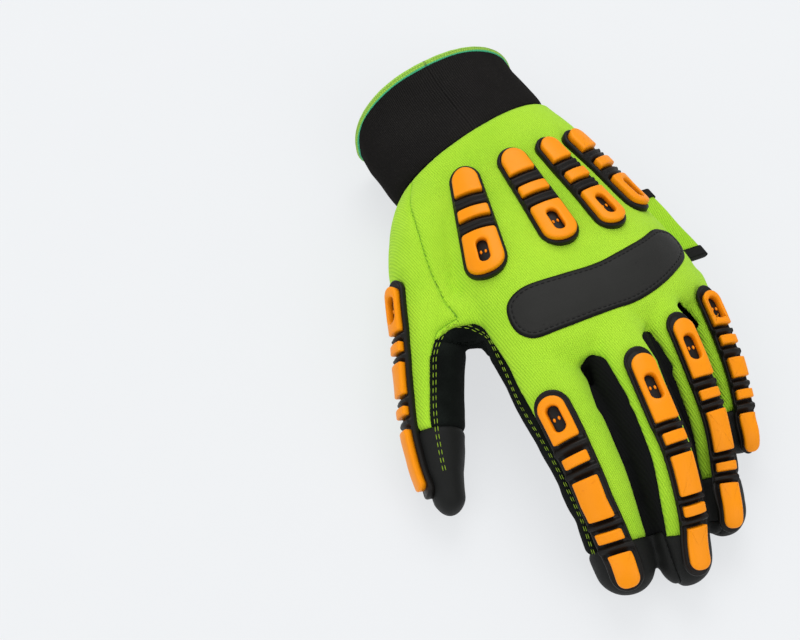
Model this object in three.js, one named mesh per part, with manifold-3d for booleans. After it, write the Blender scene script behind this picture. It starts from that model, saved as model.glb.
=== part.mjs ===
import * as THREE from 'three';
import { mergeVertices } from 'three/addons/utils/BufferGeometryUtils.js';
import Module from 'manifold-3d';

// Mechanic glove for the left hand, lying palm down and keeping its filled form.
// Millimetres, +Z up, fingers towards -Y, cuff towards +Y, thumb on the -X side.
// The glove stands on z = 0, with the middle of its outline box at x = y = 0.

const wasm = await Module();
wasm.setup();

// Thicknesses of the materials and the gap left at every seam
const WALL = 2.0;
const CUFF_WALL = 2.4;
const GAP = 0.3;
const SUEDE = 1.0;
const PATCH_THICK = 0.9;
const GUARD_BASE = 1.5;
const GUARD_LINK = 0.6;
const GUARD_PAD = 3.0;

// Levels above the hand's fabric at which the outer pieces lie
const LIFT = SUEDE + GAP;
const BASE_TOP = GAP + GUARD_BASE;
const PAD_FOOT = BASE_TOP + GAP;
const LINK_FOOT = PAD_FOOT + 0.1;
const LINK_TOP = LINK_FOOT + GUARD_LINK;
const PAD_TOP = PAD_FOOT + GUARD_PAD;

// How finely the forms are faceted
const HAND_SIDES = { outside: 20, inside: 8 };
const FINGER_SIDES = { outside: 10, inside: 6 };
const STATIONS_PER_ROW = 0.55;
const SECTOR_STEP = 50;
const SLOT_SEGMENTS = 3;

// A centre line runs straight on past its ends, this far for each whole share
const OVERRUN = 90;

// How deep the outer pieces are trimmed into the gap below them
const TRIM = 0.08;

// The inside of the walls needs fewer sides than the outside
const sidesAt = (sides, offset) => (offset < -GAP ? sides.inside : sides.outside);

// Turns rows of plain numbers into records with named columns
function table(columns, rows) {
  const names = columns.split(' ');
  return rows.map((row) => Object.fromEntries(names.map((name, i) => [name, row[i]])));
}

// Sections across the hand, from beyond the wrist seam to the finger roots. Each runs from
// its thumb-side edge (lx ly lz) to its little-finger edge (rx ry rz). The back panel meets
// the palm at the height named seam on the thumb side, and at rz on the other side.
const HAND = table('lx ly lz rx ry rz rise drop top bottom seam', [
  [-35.0, 93.0, 20, 33.6, 111.5, 22, 21.0, 22.0, 2.2, 2.4, 20.0],
  [-35.4, 81.7, 20, 37.1, 101.1, 22, 21.5, 22.5, 2.2, 2.4, 20.0],
  [-36.5, 64.0, 22, 45.5, 82.0, 22, 23.0, 23.0, 2.3, 2.4, 22.0],
  [-35.5, 46.0, 25, 49.8, 62.0, 21, 24.5, 23.0, 2.4, 2.4, 24.0],
  [-34.0, 28.0, 28, 54.5, 43.5, 20, 25.5, 20.0, 2.4, 2.4, 27.0],
  [-31.5, 10.0, 30, 59.8, 25.0, 20, 25.5, 13.5, 2.4, 2.5, 38.8],
  [-30.0, -6.0, 31, 62.8, 10.0, 19, 25.0, 8.0, 2.3, 2.6, 40.0],
  [-28.5, -19.0, 31, 62.6, -1.0, 18, 23.5, 4.0, 2.1, 2.6, 40.0],
  [-22.0, -26.5, 31, 57.0, -8.0, 20, 18.0, 1.5, 2.0, 2.4, 40.0],
]);

// Centre lines of the fingers and the thumb, with half the width and half the height
const FINGERS = {
  index: table('x y z w h', [
    [-15.6, -6.0, 32.5, 13.6, 13.6],
    [-14.6, -28.6, 33.0, 14.5, 13.6],
    [-13.1, -44.4, 31.0, 14.5, 13.4],
    [-11.9, -60.1, 27.0, 14.0, 13.0],
    [-11.2, -72.5, 20.5, 13.0, 12.5],
    [-11.2, -83.6, 14.6, 12.4, 12.0],
    [-11.8, -92.0, 12.2, 11.6, 11.3],
  ]),
  middle: table('x y z w h', [
    [16.8, -4.0, 36.0, 12.4, 12.5],
    [14.6, -30.0, 36.5, 13.1, 12.4],
    [13.7, -53.1, 34.5, 12.7, 12.2],
    [13.7, -66.3, 31.0, 11.9, 12.0],
    [13.0, -78.0, 25.0, 11.4, 11.6],
    [12.0, -88.0, 17.2, 11.0, 11.0],
    [10.3, -97.0, 11.6, 10.5, 10.5],
  ]),
  ring: table('x y z w h', [
    [37.0, 4.0, 30.0, 11.4, 12.0],
    [37.0, -18.1, 30.0, 11.1, 11.8],
    [36.7, -32.4, 28.4, 10.9, 11.4],
    [36.4, -44.0, 25.4, 10.7, 11.2],
    [36.0, -56.0, 20.6, 10.5, 11.0],
    [34.8, -66.7, 15.0, 10.3, 10.6],
    [33.2, -76.2, 11.8, 10.0, 10.2],
    [31.4, -84.4, 10.8, 9.7, 9.9],
  ]),
  little: table('x y z w h', [
    [54.6, 8.0, 19.4, 10.2, 10.8],
    [54.4, -14.0, 18.0, 10.0, 10.6],
    [53.6, -31.0, 15.8, 9.8, 10.2],
    [52.8, -42.0, 13.2, 9.6, 9.9],
    [52.0, -50.5, 10.8, 9.3, 9.6],
    [51.4, -56.5, 9.9, 8.9, 9.1],
  ]),
  thumb: table('x y z w h', [
    [-19.0, 80.0, 22.0, 13.0, 15.0],
    [-27.6, 62.0, 24.5, 17.2, 18.0],
    [-35.3, 46.0, 26.0, 16.6, 17.0],
    [-41.2, 31.0, 25.8, 14.4, 15.6],
    [-46.4, 14.7, 23.6, 12.7, 14.4],
    [-53.3, -5.7, 19.6, 11.1, 13.4],
    [-57.9, -20.8, 16.4, 9.9, 12.6],
    [-61.0, -34.0, 13.4, 8.0, 11.4],
    [-62.3, -42.0, 11.4, 6.4, 10.0],
  ]),
};

// Web of fabric between the thumb and the forefinger
const WEB = table('x y z w h', [
  [-50.0, 23.0, 26.5, 8.0, 10.0],
  [-40.0, 20.0, 28.5, 9.0, 10.0],
  [-31.0, 17.0, 30.0, 12.0, 11.0],
  [-20.0, 14.0, 31.0, 12.0, 11.0],
]);

// Sections of the cuff, from the wrist seam to the rim. Its back leans out at the rim.
const CUFF = table('lx ly lz rx ry rz rise drop lean', [
  [-35.5, 82.1, 20.0, 37.0, 101.5, 22.0, 21.5, 22.0, 0],
  [-37.4, 92.0, 19.6, 34.8, 109.5, 22.0, 21.8, 21.5, 2],
  [-39.8, 104.0, 19.2, 32.4, 118.5, 21.6, 22.8, 21.0, 5],
  [-40.5, 114.6, 18.8, 30.6, 125.2, 21.4, 24.0, 20.5, 8],
]);
const CUFF_LENGTH = 42;
const BINDING_WIDTH = 3.2;
const BINDING_THICK = 0.85;
const CUFF_POWER = 2.2;
const PALM_LEAN = 0.35;

// Where each fingertip cap begins, as a share of the finger's centre line
const CAP_START = { index: 0.86, middle: 0.84, ring: 0.8, little: 0.76, thumb: 0.735 };
const CAP_REACH = 40;
const CAP_PROUD = 0.12;

// Angles are in degrees from the finger's top line, positive towards the little finger side.
// The side strips between the fingers lie between a back seam and a palm seam.
const STRIP = { palm: 124, rootReach: 19, reach: 0.8, root: 0.06, under: 0.02 };
const ULNAR_SEAM = 96;

// Degrees by which a sector widens for each millimetre that it grows
const WIDEN = { strip: 4.4, seam: 4, thumb: 3.6 };

// The block that joins two side strips behind a crotch, and how far the palm side reaches
const CROTCH = { share: 0.12, width: 0.42, depth: 12, height: 9 };
const PALM_SIDE = { left: -24, right: 14, bottom: -30, beyond: 7, reach: 4, from: -0.05, under: 0.03 };
const WRIST_BLOCK = { width: 240, depth: 80, height: 160, middle: 40 };

// How far above the hand a point starts that is dropped onto it
const DROP = { patch: 8, finger: 12, hand: 30 };

// The seam between the green back and the dark strip up the forefinger's side
const FOREFINGER_SEAM = table('share degrees', [
  [-0.02, -64], [0.3, -60], [0.6, -58], [0.9, -56],
]);

// The side strips of each pair of fingers: the shares of the two centre lines at which they
// start, behind the crotch, and the degrees of their back seams
const CROTCHES = table('near far nearStart farStart nearBack farBack', [
  ['index', 'middle', 0.165, 0.16, 56, 36],
  ['middle', 'ring', 0.13, 0.145, 70, 67],
  ['ring', 'little', 0.1, 0.14, 76, 82],
]);

// The green back of the thumb, as a sector round the thumb's centre line
const THUMB_BACK = table('share from to reach', [
  [-0.1, -62, -140, 40],
  [0.105, -41, -140, 37],
  [0.315, 0, -143, 33],
  [0.415, 31, -145, 31],
  [0.465, 36, -146, 30],
  [0.5, 5, -148, 28],
  [0.56, -10, -149, 27],
  [0.7, -17, -150, 23],
  [0.9, -18, -150, 20],
]);
const THUMB_FRONT_START = 0.52;

// Suede patches on the finger fronts, wide at the pads and cut in at the joints. Angles run
// from the finger's palm line towards the little finger (right) and the thumb (left).
const FINGER_PATCHES = {
  index: table('share left right', [
    [0.22, 56, 48], [0.36, 56, 48], [0.4, 24, 48], [0.48, 24, 48], [0.52, 56, 48], [0.6, 56, 22],
    [0.68, 56, 22], [0.72, 56, 46], [0.82, 54, 44],
  ]),
  middle: table('share left right', [
    [0.26, 44, 42], [0.36, 44, 42], [0.4, 22, 42], [0.48, 22, 42], [0.52, 44, 42], [0.58, 44, 22],
    [0.66, 44, 22], [0.7, 44, 42], [0.8, 44, 42],
  ]),
  ring: table('share left right', [
    [0.24, 40, 34], [0.34, 40, 34], [0.38, 20, 34], [0.46, 20, 34], [0.5, 40, 34], [0.56, 40, 20],
    [0.64, 40, 20], [0.68, 40, 34], [0.76, 40, 34],
  ]),
  little: table('share left right', [
    [0.28, 36, 46], [0.36, 36, 46], [0.41, 20, 46], [0.5, 20, 46], [0.55, 36, 46], [0.72, 36, 46],
  ]),
};

// The turn at which a wide patch bends, and the share of its half width for a narrow one
const PATCH_BEND = { over: 34, at: 30, share: 0.6 };

// Outline of the suede overlay on the palm, with a slot cut in from the little-finger side
const PALM_OVERLAY = table('x y', [
  [51, 14], [38, 5], [-4, -3], [-18, -4], [-22, 4], [-24, 50], [-24, 74], [33, 90], [42, 62],
  [48, 40], [16, 26], [-2, 16], [-2, 8], [18, 16], [51, 27],
]);
const PALM_OVERLAY_SPAN = { low: -2, high: 22 };

// Finger guards: where each starts and ends, half the width of its base and of its pads, its
// turn round the finger at its knuckle end, in its middle and at its tip, and where each pad
// starts and ends along it
const FINGER_GUARDS = {
  index: {
    start: 0.175, end: 81.5, base: 7.4, pad: 4.5, turn: [-24, -27.5, -13.5],
    pads: [3, 20.5, 26.5, 30.6, 36, 52.2, 57, 61.2, 66.5, 78.5],
  },
  middle: {
    start: 0.145, end: 91, base: 6.2, pad: 4, turn: [10, 11.5, 12],
    pads: [4.3, 31.5, 36, 40.3, 44.7, 59.7, 63.5, 67.3, 72, 87.7],
  },
  ring: {
    start: 0.12, end: 88.5, base: 5.7, pad: 3.8, turn: [12, 12, 8],
    pads: [4.2, 27.8, 32.8, 36.5, 41.2, 56.5, 60.8, 64.2, 69.2, 85.2],
  },
  little: {
    start: 0.085, end: 71.5, base: 4.9, pad: 3.4, turn: [23, 22, 10],
    pads: [3.5, 18, 22.7, 26.3, 32, 39.7, 44.7, 48.3, 54.3, 68.5],
  },
  thumb: {
    start: 0.337, end: 87, base: 4.9, pad: 3.5, turn: [-59, -74, -80],
    pads: [3.2, 21.5, 25.7, 29.5, 33.7, 46.3, 51, 54.5, 60, 83.5],
  },
};
const KNUCKLE_WIDER = 0.25;
const TIP_SLIM = 0.88;
const LINK_HALF = 2.2;
const LINE_STEP = 0.01;
const LINE_END = 1.8;
const LEAST_RADIUS = 6;
const CLOSE_ROWS = 0.8;
const BED = 0.25;
const SLOT = { width: 4.4, length: 10.5, depth: 8, margin: 5, wall: 1.6 };

// Guards over the hand bones: the line each follows, its turn towards the little finger, and
// half its width at the wrist end and at the knuckle end
const HAND_GUARDS = table('name x0 y0 x1 y1 z turn narrow wide', [
  ['index', -11.6, 74.4, -20.7, 21.4, 46, -8, 6, 9.4],
  ['middle', 7.5, 75.0, 11.9, 23.3, 48, 0, 6.1, 8.6],
  ['ring', 22.6, 75.4, 34.2, 25.2, 45, 12, 5.1, 7.3],
  ['little', 31.9, 76.4, 49.8, 33.8, 36, 33, 5, 7.1],
]);
const HAND_GUARD_RIM = 1.25;
const HAND_GUARD_SHARES = { pad: [0.04, 0.27], bar: [0.405, 0.495], foot: [0.62, 0.975] };

// Rounded ends: how far from the end each row lies, and its share of the full half width
const ENDS = {
  knuckle: table('at share', [[0, 0.5], [1.6, 0.82], [4.5, 1]]),
  tip: table('at share', [[4, 0.9], [0, 0.5]]),
  knucklePad: table('at share', [[0, 0.5], [1.8, 0.85], [4, 1]]),
  wrist: table('at share', [[0, 0.6], [2, 0.95]]),
  foot: table('at share', [[8, 1], [2.5, 0.75], [0, 0.4]]),
  footPad: table('at share', [[6, 1], [1.8, 0.72], [0, 0.35]]),
};

// Outline of the smooth bar patch across the knuckles
const KNUCKLE_PATCH = table('x y', [
  [-21.0, 3.0], [-19.2, 8.4], [-12.6, 11.8], [3.4, 11.4], [20.5, 12.3], [40.5, 18.6], [49.9, 23.6],
  [56.0, 23.0], [58.6, 17.5], [56.7, 10.4], [44.3, 0.0], [29.0, -6.7], [11.3, -8.9], [-5.4, -9.7],
  [-15.8, -8.9], [-20.2, -4.0],
]);
const PATCH_SPAN = { low: 24, high: 80 };

// Pull tab on the little-finger side
const TAB = { y0: 16, y1: 50.5, reach: 8.2, z: 20.6, thick: 2.2, binding: 3.2, tuck: 4 };

// Colours and surfaces
const FINISH = {
  green: { color: 0xa4e02a, roughness: 0.85 },
  orange: { color: 0xff991a, roughness: 0.5 },
  rubber: { color: 0x2a2826, roughness: 0.55 },
  knit: { color: 0x191817, roughness: 0.95 },
  suede: { color: 0x252b2d, roughness: 0.95 },
  smooth: { color: 0x333130, roughness: 0.6 },
  binding: { color: 0x96c83c, roughness: 0.9 },
};

const Z = new THREE.Vector3(0, 0, 1);
const radians = THREE.MathUtils.degToRad;

// A closed solid from its points and triangles, turned right side out
function solidFrom(points, triangles) {
  let volume = 0;
  for (const [a, b, c] of triangles) {
    volume += points[a].dot(new THREE.Vector3().crossVectors(points[b], points[c]));
  }
  const faces = volume < 0 ? triangles.map(([a, b, c]) => [a, c, b]) : triangles;
  const vertProperties = new Float32Array(points.flatMap((p) => [p.x, p.y, p.z]));
  const triVerts = new Uint32Array(faces.flat());
  return new wasm.Manifold(new wasm.Mesh({ numProp: 3, vertProperties, triVerts }));
}

// A solid through rings of equal count. A loop of rings closes on itself, a row is capped:
// with a fan round its middle, or as a ladder between its two long sides.
function loft(rings, loop = false, ladder = false) {
  const count = rings[0].length;
  const points = rings.flat();
  const triangles = [];
  const bands = loop ? rings.length : rings.length - 1;
  for (let band = 0; band < bands; band += 1) {
    const here = band * count;
    const next = ((band + 1) % rings.length) * count;
    for (let i = 0; i < count; i += 1) {
      const j = (i + 1) % count;
      triangles.push([here + i, here + j, next + j], [here + i, next + j, next + i]);
    }
  }
  if (ladder) {
    for (const [ring, flip] of [[0, true], [rings.length - 1, false]]) {
      for (let i = 0; i < count / 2 - 1; i += 1) {
        const [a, b, c, d] = [i, i + 1, count - 2 - i, count - 1 - i].map((at) => ring * count + at);
        triangles.push(flip ? [c, b, a] : [a, b, c], flip ? [d, c, a] : [a, c, d]);
      }
    }
  } else if (!loop) {
    for (const [ring, flip] of [[0, true], [rings.length - 1, false]]) {
      const middle = new THREE.Vector3();
      rings[ring].forEach((p) => middle.addScaledVector(p, 1 / count));
      points.push(middle);
      for (let i = 0; i < count; i += 1) {
        const a = ring * count + i;
        const b = ring * count + ((i + 1) % count);
        triangles.push(flip ? [b, a, points.length - 1] : [a, b, points.length - 1]);
      }
    }
  }
  return solidFrom(points, triangles);
}

// A three.js geometry as a solid
function solidOf(geometry, matrix) {
  const clean = geometry.clone();
  if (matrix) clean.applyMatrix4(matrix);
  clean.deleteAttribute('normal');
  clean.deleteAttribute('uv');
  const merged = mergeVertices(clean, 1e-5);
  const at = merged.getAttribute('position');
  const index = merged.getIndex();
  const points = Array.from({ length: at.count }, (_, i) => new THREE.Vector3().fromBufferAttribute(at, i));
  const triangles = [];
  for (let i = 0; i < index.count; i += 3) {
    triangles.push([index.getX(i), index.getX(i + 1), index.getX(i + 2)]);
  }
  return solidFrom(points, triangles);
}

const unite = (solids) => solids.reduce((all, one) => all.add(one));

// Keeps a point at or above the height at which its layer is flattened by the floor
function rested(point, offset) {
  point.z = Math.max(point.z, LIFT - offset);
  return point;
}

// One section of the hand or the cuff: flat across, domed above and below
function section(row, offset, sides, topPower, bottomPower) {
  const left = new THREE.Vector3(row.lx, row.ly, row.lz);
  const right = new THREE.Vector3(row.rx, row.ry, row.rz);
  const middle = left.clone().lerp(right, 0.5);
  const across = right.clone().sub(left);
  const half = across.length() / 2;
  across.normalize();
  const outward = new THREE.Vector3(-across.y, across.x, 0).normalize();
  return Array.from({ length: sides }, (_, i) => {
    const angle = (i / sides) * 2 * Math.PI;
    const power = 2 / (Math.cos(angle) > 0 ? topPower : bottomPower);
    const side = Math.sign(Math.sin(angle)) * Math.abs(Math.sin(angle)) ** power;
    const lift = Math.sign(Math.cos(angle)) * Math.abs(Math.cos(angle)) ** power;
    const height = lift > 0 ? row.rise + offset : row.drop + offset;
    const point = middle.clone().addScaledVector(across, side * (half + offset));
    point.addScaledVector(Z, lift * height);
    const lean = (row.lean ?? 0) * (lift > 0 ? lift : lift * PALM_LEAN);
    return rested(point.addScaledVector(outward, lean), offset);
  });
}

// The palm and back of the hand as one solid, grown or shrunk by an offset
function handBody(offset) {
  const last = HAND.length - 1;
  return loft(HAND.map((row, i) => {
    const shift = i === last ? -offset : 0;
    const moved = { ...row, ly: row.ly + shift, ry: row.ry + shift };
    return section(moved, offset, sidesAt(HAND_SIDES, offset), row.top, row.bottom);
  }));
}

// A finger's centre line with the frame and half sizes at any share of its length
function fingerLine(rows) {
  const centre = new THREE.CatmullRomCurve3(rows.map((r) => new THREE.Vector3(r.x, r.y, r.z)));
  const size = new THREE.CatmullRomCurve3(rows.map((r) => new THREE.Vector3(r.w, r.h, 0)));
  return (share) => {
    const t = THREE.MathUtils.clamp(share, 0, 1);
    const along = centre.getTangent(t);
    const side = new THREE.Vector3().crossVectors(Z, along).normalize();
    const up = new THREE.Vector3().crossVectors(along, side).normalize();
    const { x: w, y: h } = size.getPoint(t);
    const at = centre.getPoint(t).addScaledVector(along, (share - t) * OVERRUN);
    return { at, along, side, up, w, h };
  };
}

const LINES = Object.fromEntries(Object.entries(FINGERS).map(([name, rows]) => [name, fingerLine(rows)]));
const WEB_LINE = fingerLine(WEB);

// A point beside a finger's centre line, at an angle from its top line
function around(station, degrees, offset) {
  const angle = radians(degrees);
  return station.at.clone()
    .addScaledVector(station.side, Math.sin(angle) * (station.w + offset))
    .addScaledVector(station.up, Math.cos(angle) * (station.h + offset));
}

const TIP_ANGLES = [34, 66];

// Where the rings of a finger stand along its centre line
function ringShares(name, from = 0) {
  const count = Math.round((FINGERS[name].length - 1) * STATIONS_PER_ROW * (1 - from)) + 2;
  return Array.from({ length: count }, (_, i) => from + (1 - from) * (i / (count - 1)));
}

// A finger as one solid with a round tip, from one share of its length to its end
function fingerBody(name, offset, from = 0) {
  const line = LINES[name];
  const sides = sidesAt(FINGER_SIDES, offset);
  const ring = (station) => Array.from({ length: sides }, (_, i) => (
    rested(around(station, (i / sides) * 360, offset), offset)));
  const rings = ringShares(name, from).map((share) => ring(line(share)));
  const end = line(1);
  for (const degrees of TIP_ANGLES) {
    const shrink = Math.cos(radians(degrees));
    const reach = ((end.w + end.h) / 2 + offset) * Math.sin(radians(degrees));
    const station = { ...end, at: end.at.clone().addScaledVector(end.along, reach) };
    station.w = (end.w + offset) * shrink - offset;
    station.h = (end.h + offset) * shrink - offset;
    rings.push(ring(station));
  }
  return loft(rings);
}

// The web as one solid, flat at both ends, which lie inside the thumb and the hand
function webBody(offset) {
  const sides = sidesAt(FINGER_SIDES, offset);
  return loft(WEB.map((_, row) => {
    const station = WEB_LINE(row / (WEB.length - 1));
    return Array.from({ length: sides }, (_, i) => around(station, (i / sides) * 360, offset));
  }));
}

const FORMS = new Map();

// The whole hand's outer form, grown or shrunk by an offset
function handForm(offset) {
  if (!FORMS.has(offset)) {
    const fingers = Object.keys(FINGERS).map((name) => fingerBody(name, offset));
    FORMS.set(offset, unite([handBody(offset), webBody(offset), ...fingers]));
  }
  return FORMS.get(offset);
}

// A layer between two levels above the hand's fabric
const layer = (low, high) => handForm(high).subtract(handForm(low));

// The rows of a table with evenly blended rows put between them
function dense(rows, parts) {
  return rows.flatMap((row, i) => {
    const next = rows[i + 1];
    if (!next) return [row];
    return Array.from({ length: parts }, (_, k) => Object.fromEntries(
      Object.keys(row).map((key) => [key, row[key] + (next[key] - row[key]) * (k / parts)]),
    ));
  });
}

// A fan-shaped solid round a finger's centre line, between two angles at each station.
// The inner radius is 0, so it reaches from the centre line to beyond the surface.
function sector(name, rows, parts = 1) {
  const line = LINES[name];
  const widest = Math.max(...rows.map((row) => Math.abs(row.to - row.from)));
  const steps = Math.max(1, Math.ceil(widest / SECTOR_STEP));
  return loft(dense(rows, parts).map((row) => {
    const station = line(row.share);
    const arc = Array.from({ length: steps + 1 }, (_, i) => {
      const degrees = row.from + (row.to - row.from) * (i / steps);
      const angle = radians(degrees);
      return station.at.clone()
        .addScaledVector(station.side, Math.sin(angle) * row.reach)
        .addScaledVector(station.up, Math.cos(angle) * row.reach);
    });
    return [station.at.clone(), ...arc];
  }));
}

// The strip of a finger's wall between two shares and two angles, for one side strip
function sideStrip(name, sign, share, back, grow) {
  const widen = grow * WIDEN.strip;
  const start = share - grow / OVERRUN;
  const end = CAP_START[name] + STRIP.under;
  const shares = [start, start + STRIP.root, end];
  return sector(name, shares.map((at, i) => {
    const station = LINES[name](at);
    const reach = i < 2 ? STRIP.rootReach - i * 2 : Math.max(station.w, station.h) + STRIP.reach;
    return {
      share: at,
      from: sign * (back - widen),
      to: sign * (STRIP.palm + widen),
      reach: reach + grow,
    };
  }));
}

// A block that joins the strips of two fingers across the crotch between them
function crotchBlock(near, far, grow) {
  const [one, two] = [near, far].map((name) => LINES[name](CROTCH.share).at);
  const { lx, ly, rx, ry } = HAND[HAND.length - 1];
  const x = (one.x + two.x) / 2;
  const y = ly + ((ry - ly) * (x - lx)) / (rx - lx);
  const width = (two.x - one.x) * CROTCH.width;
  const height = Math.abs(one.z - two.z) + CROTCH.height;
  const box = new THREE.BoxGeometry(width + 2 * grow, CROTCH.depth + 2 * grow, height + 2 * grow);
  return solidOf(box, new THREE.Matrix4().makeTranslation(x, y, (one.z + two.z) / 2));
}

// A block that holds one fingertip cap: the finger's own form beyond a plane across it
function capBlock(name, grow) {
  const { at, side, up, along } = LINES[name](CAP_START[name]);
  const beyond = new THREE.Matrix4().makeBasis(side, up, along);
  beyond.setPosition(at.clone().addScaledVector(along, CAP_REACH - grow));
  const size = 2 * CAP_REACH;
  const block = solidOf(new THREE.BoxGeometry(size, size, size), beyond);
  return fingerBody(name, CAP_PROUD + grow).intersect(block);
}

// The part of a finger on the palm side of its seams, given round the finger's centre line
function palmSector(name, from, to, grow) {
  const shares = [PALM_SIDE.from, CAP_START[name] + PALM_SIDE.under];
  return sector(name, shares.map((share) => ({
    share,
    from,
    to,
    reach: LINES[name](share).h + PALM_SIDE.reach + 2 * grow,
  })));
}

// Everything on the palm side of the seams that part the back from the palm
function palmSide(grow) {
  const turn = grow * WIDEN.seam;
  const last = HAND[HAND.length - 1];
  const ahead = PALM_SIDE.beyond + grow;
  const beyond = { ...last, ly: last.ly - ahead, ry: last.ry - ahead };
  const hand = loft([...HAND, beyond].map((row) => {
    const across = new THREE.Vector3(row.rx - row.lx, row.ry - row.ly, 0).normalize();
    const left = new THREE.Vector3(row.lx, row.ly, row.seam + grow).addScaledVector(across, PALM_SIDE.left);
    const right = new THREE.Vector3(row.rx, row.ry, row.rz + grow).addScaledVector(across, PALM_SIDE.right);
    return [left, right, right.clone().setZ(PALM_SIDE.bottom), left.clone().setZ(PALM_SIDE.bottom)];
  }));
  const forefinger = sector('index', FOREFINGER_SEAM.map((row) => ({
    share: row.share,
    from: 90 - turn,
    to: 360 + row.degrees + turn,
    reach: LINES.index(row.share).h + PALM_SIDE.reach + 2 * grow,
  })));
  return unite([
    hand,
    forefinger,
    palmSector('middle', 90 - turn, 270 + turn, grow),
    palmSector('ring', 90 - turn, 270 + turn, grow),
    palmSector('little', ULNAR_SEAM - turn, 270 + turn, grow),
  ]);
}

// Everything on the cuff side of the wrist seam
function beyondWrist() {
  const { lx, ly, rx, ry } = HAND[1];
  const { width, depth, height, middle } = WRIST_BLOCK;
  const box = new THREE.BoxGeometry(width, depth, height);
  const place = new THREE.Matrix4().makeTranslation((lx + rx) / 2, (ly + ry) / 2, middle);
  place.multiply(new THREE.Matrix4().makeRotationZ(Math.atan2(ry - ly, rx - lx)));
  place.multiply(new THREE.Matrix4().makeTranslation(0, depth / 2, 0));
  return solidOf(box, place);
}

const largest = (solid) => solid.decompose().sort((a, b) => b.volume() - a.volume())[0];

// A solid as a mesh in its own finish
function meshOf({ name, finish, solid }) {
  const { vertProperties, triVerts, numProp } = solid.getMesh();
  const geometry = new THREE.BufferGeometry();
  const position = new Float32Array((vertProperties.length / numProp) * 3);
  for (let i = 0; i < position.length / 3; i += 1) {
    position.set(vertProperties.subarray(i * numProp, i * numProp + 3), i * 3);
  }
  geometry.setAttribute('position', new THREE.BufferAttribute(position, 3));
  geometry.setIndex(new THREE.BufferAttribute(new Uint32Array(triVerts), 1));
  geometry.computeVertexNormals();
  const mesh = new THREE.Mesh(geometry, new THREE.MeshStandardMaterial({ ...FINISH[finish], metalness: 0 }));
  mesh.name = name;
  return mesh;
}

const pieces = [];

// Adds one named piece to the glove
function piece(name, finish, solid) {
  pieces.push({ name, finish, solid });
}

// The fabric of the hand, cut into its panels
function fabricPanels() {
  const wall = layer(-WALL, 0).subtract(beyondWrist());
  const removed = [];
  const take = (name, finish, block, grown) => {
    piece(name, finish, largest(wall.intersect(block)));
    removed.push(grown);
  };

  for (const name of ['thumb', 'index', 'middle', 'ring', 'little']) {
    take(`fingertip_${name}`, 'smooth', capBlock(name, 0), capBlock(name, GAP));
  }
  const caps = unite(removed);

  for (const { near, far, nearStart, farStart, nearBack, farBack } of CROTCHES) {
    const strips = (grow) => unite([
      sideStrip(near, 1, nearStart, nearBack, grow),
      sideStrip(far, -1, farStart, farBack, grow),
      crotchBlock(near, far, grow),
    ]);
    take(`fourchette_${near}_${far}`, 'knit', strips(0).subtract(caps), strips(GAP));
  }

  const backSector = (grow) => sector('thumb', THUMB_BACK.map((row) => ({
    ...row,
    from: row.from + grow * WIDEN.thumb,
    to: row.to - grow * WIDEN.thumb,
    reach: row.reach + grow,
  })));
  take('thumb_back_panel', 'green', backSector(0).subtract(caps), backSector(GAP));

  const frontBlock = (grow) => fingerBody('thumb', 1 + grow, THUMB_FRONT_START - grow / OVERRUN);
  const front = frontBlock(0).subtract(caps).subtract(backSector(GAP));
  take('thumb_front_panel', 'suede', front, frontBlock(GAP));

  const rest = wall.subtract(unite(removed));
  piece('back_panel', 'green', largest(rest.subtract(palmSide(GAP))));
  piece('palm_panel', 'suede', largest(rest.intersect(palmSide(0))));
}

fabricPanels();

// A flat outline with rounded corners, pushed up into a solid
function prism(outline, low, high) {
  const shape = new THREE.Shape(outline.map(({ x, y }) => new THREE.Vector2(x, y)));
  const geometry = new THREE.ExtrudeGeometry(shape, { depth: high - low, bevelEnabled: false });
  return solidOf(geometry, new THREE.Matrix4().makeTranslation(0, 0, low));
}

// Blended row of the cuff at a share of its length. Beyond 1 it carries straight on.
function cuffRow(share) {
  const place = share * (CUFF.length - 1);
  const i = Math.min(Math.floor(place), CUFF.length - 2);
  const [here, next] = [CUFF[i], CUFF[i + 1]];
  return Object.fromEntries(Object.keys(here).map((key) => [
    key, here[key] + (next[key] - here[key]) * (place - i),
  ]));
}

const cuffRing = (share, offset) => (
  section(cuffRow(share), offset, HAND_SIDES.outside, CUFF_POWER, CUFF_POWER));

// The cuff and the binding round its rim
function cuffPieces() {
  const outer = CUFF.map((_, i) => cuffRing(i / (CUFF.length - 1), 0));
  const inner = CUFF.map((_, i) => cuffRing(i / (CUFF.length - 1), -CUFF_WALL));
  piece('cuff', 'knit', loft([...outer, ...inner.reverse()], true));

  const [foot, rim, tip] = [-BINDING_WIDTH, GAP, GAP + BINDING_THICK].map((past) => 1 + past / CUFF_LENGTH);
  const room = GAP * 1.5;
  const [in1, in2] = [-CUFF_WALL - room, -CUFF_WALL - room - BINDING_THICK];
  const out = room + BINDING_THICK;
  piece('cuff_binding', 'binding', loft([
    cuffRing(foot, room), cuffRing(foot, out), cuffRing(tip, out), cuffRing(tip, in2),
    cuffRing(foot, in2), cuffRing(foot, in1), cuffRing(rim, in1), cuffRing(rim, room),
  ], true));
}

cuffPieces();

// A section of something lying on a surface: its places at a low level, then back at a high one
function skin(places, low, high, resting = false) {
  const level = (offset) => places.map(({ at, normal }) => {
    const point = at.clone().addScaledVector(normal, offset);
    return resting ? rested(point, offset) : point;
  });
  return [...level(low), ...level(high).reverse()];
}

// Where a point above the hand comes down onto it, against a direction
const ground = meshOf({ name: 'ground', finish: 'green', solid: handForm(0) });
function dropped(from, normal) {
  const ray = new THREE.Raycaster(from, normal.clone().negate());
  return { at: ray.intersectObject(ground)[0].point, normal };
}

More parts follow.
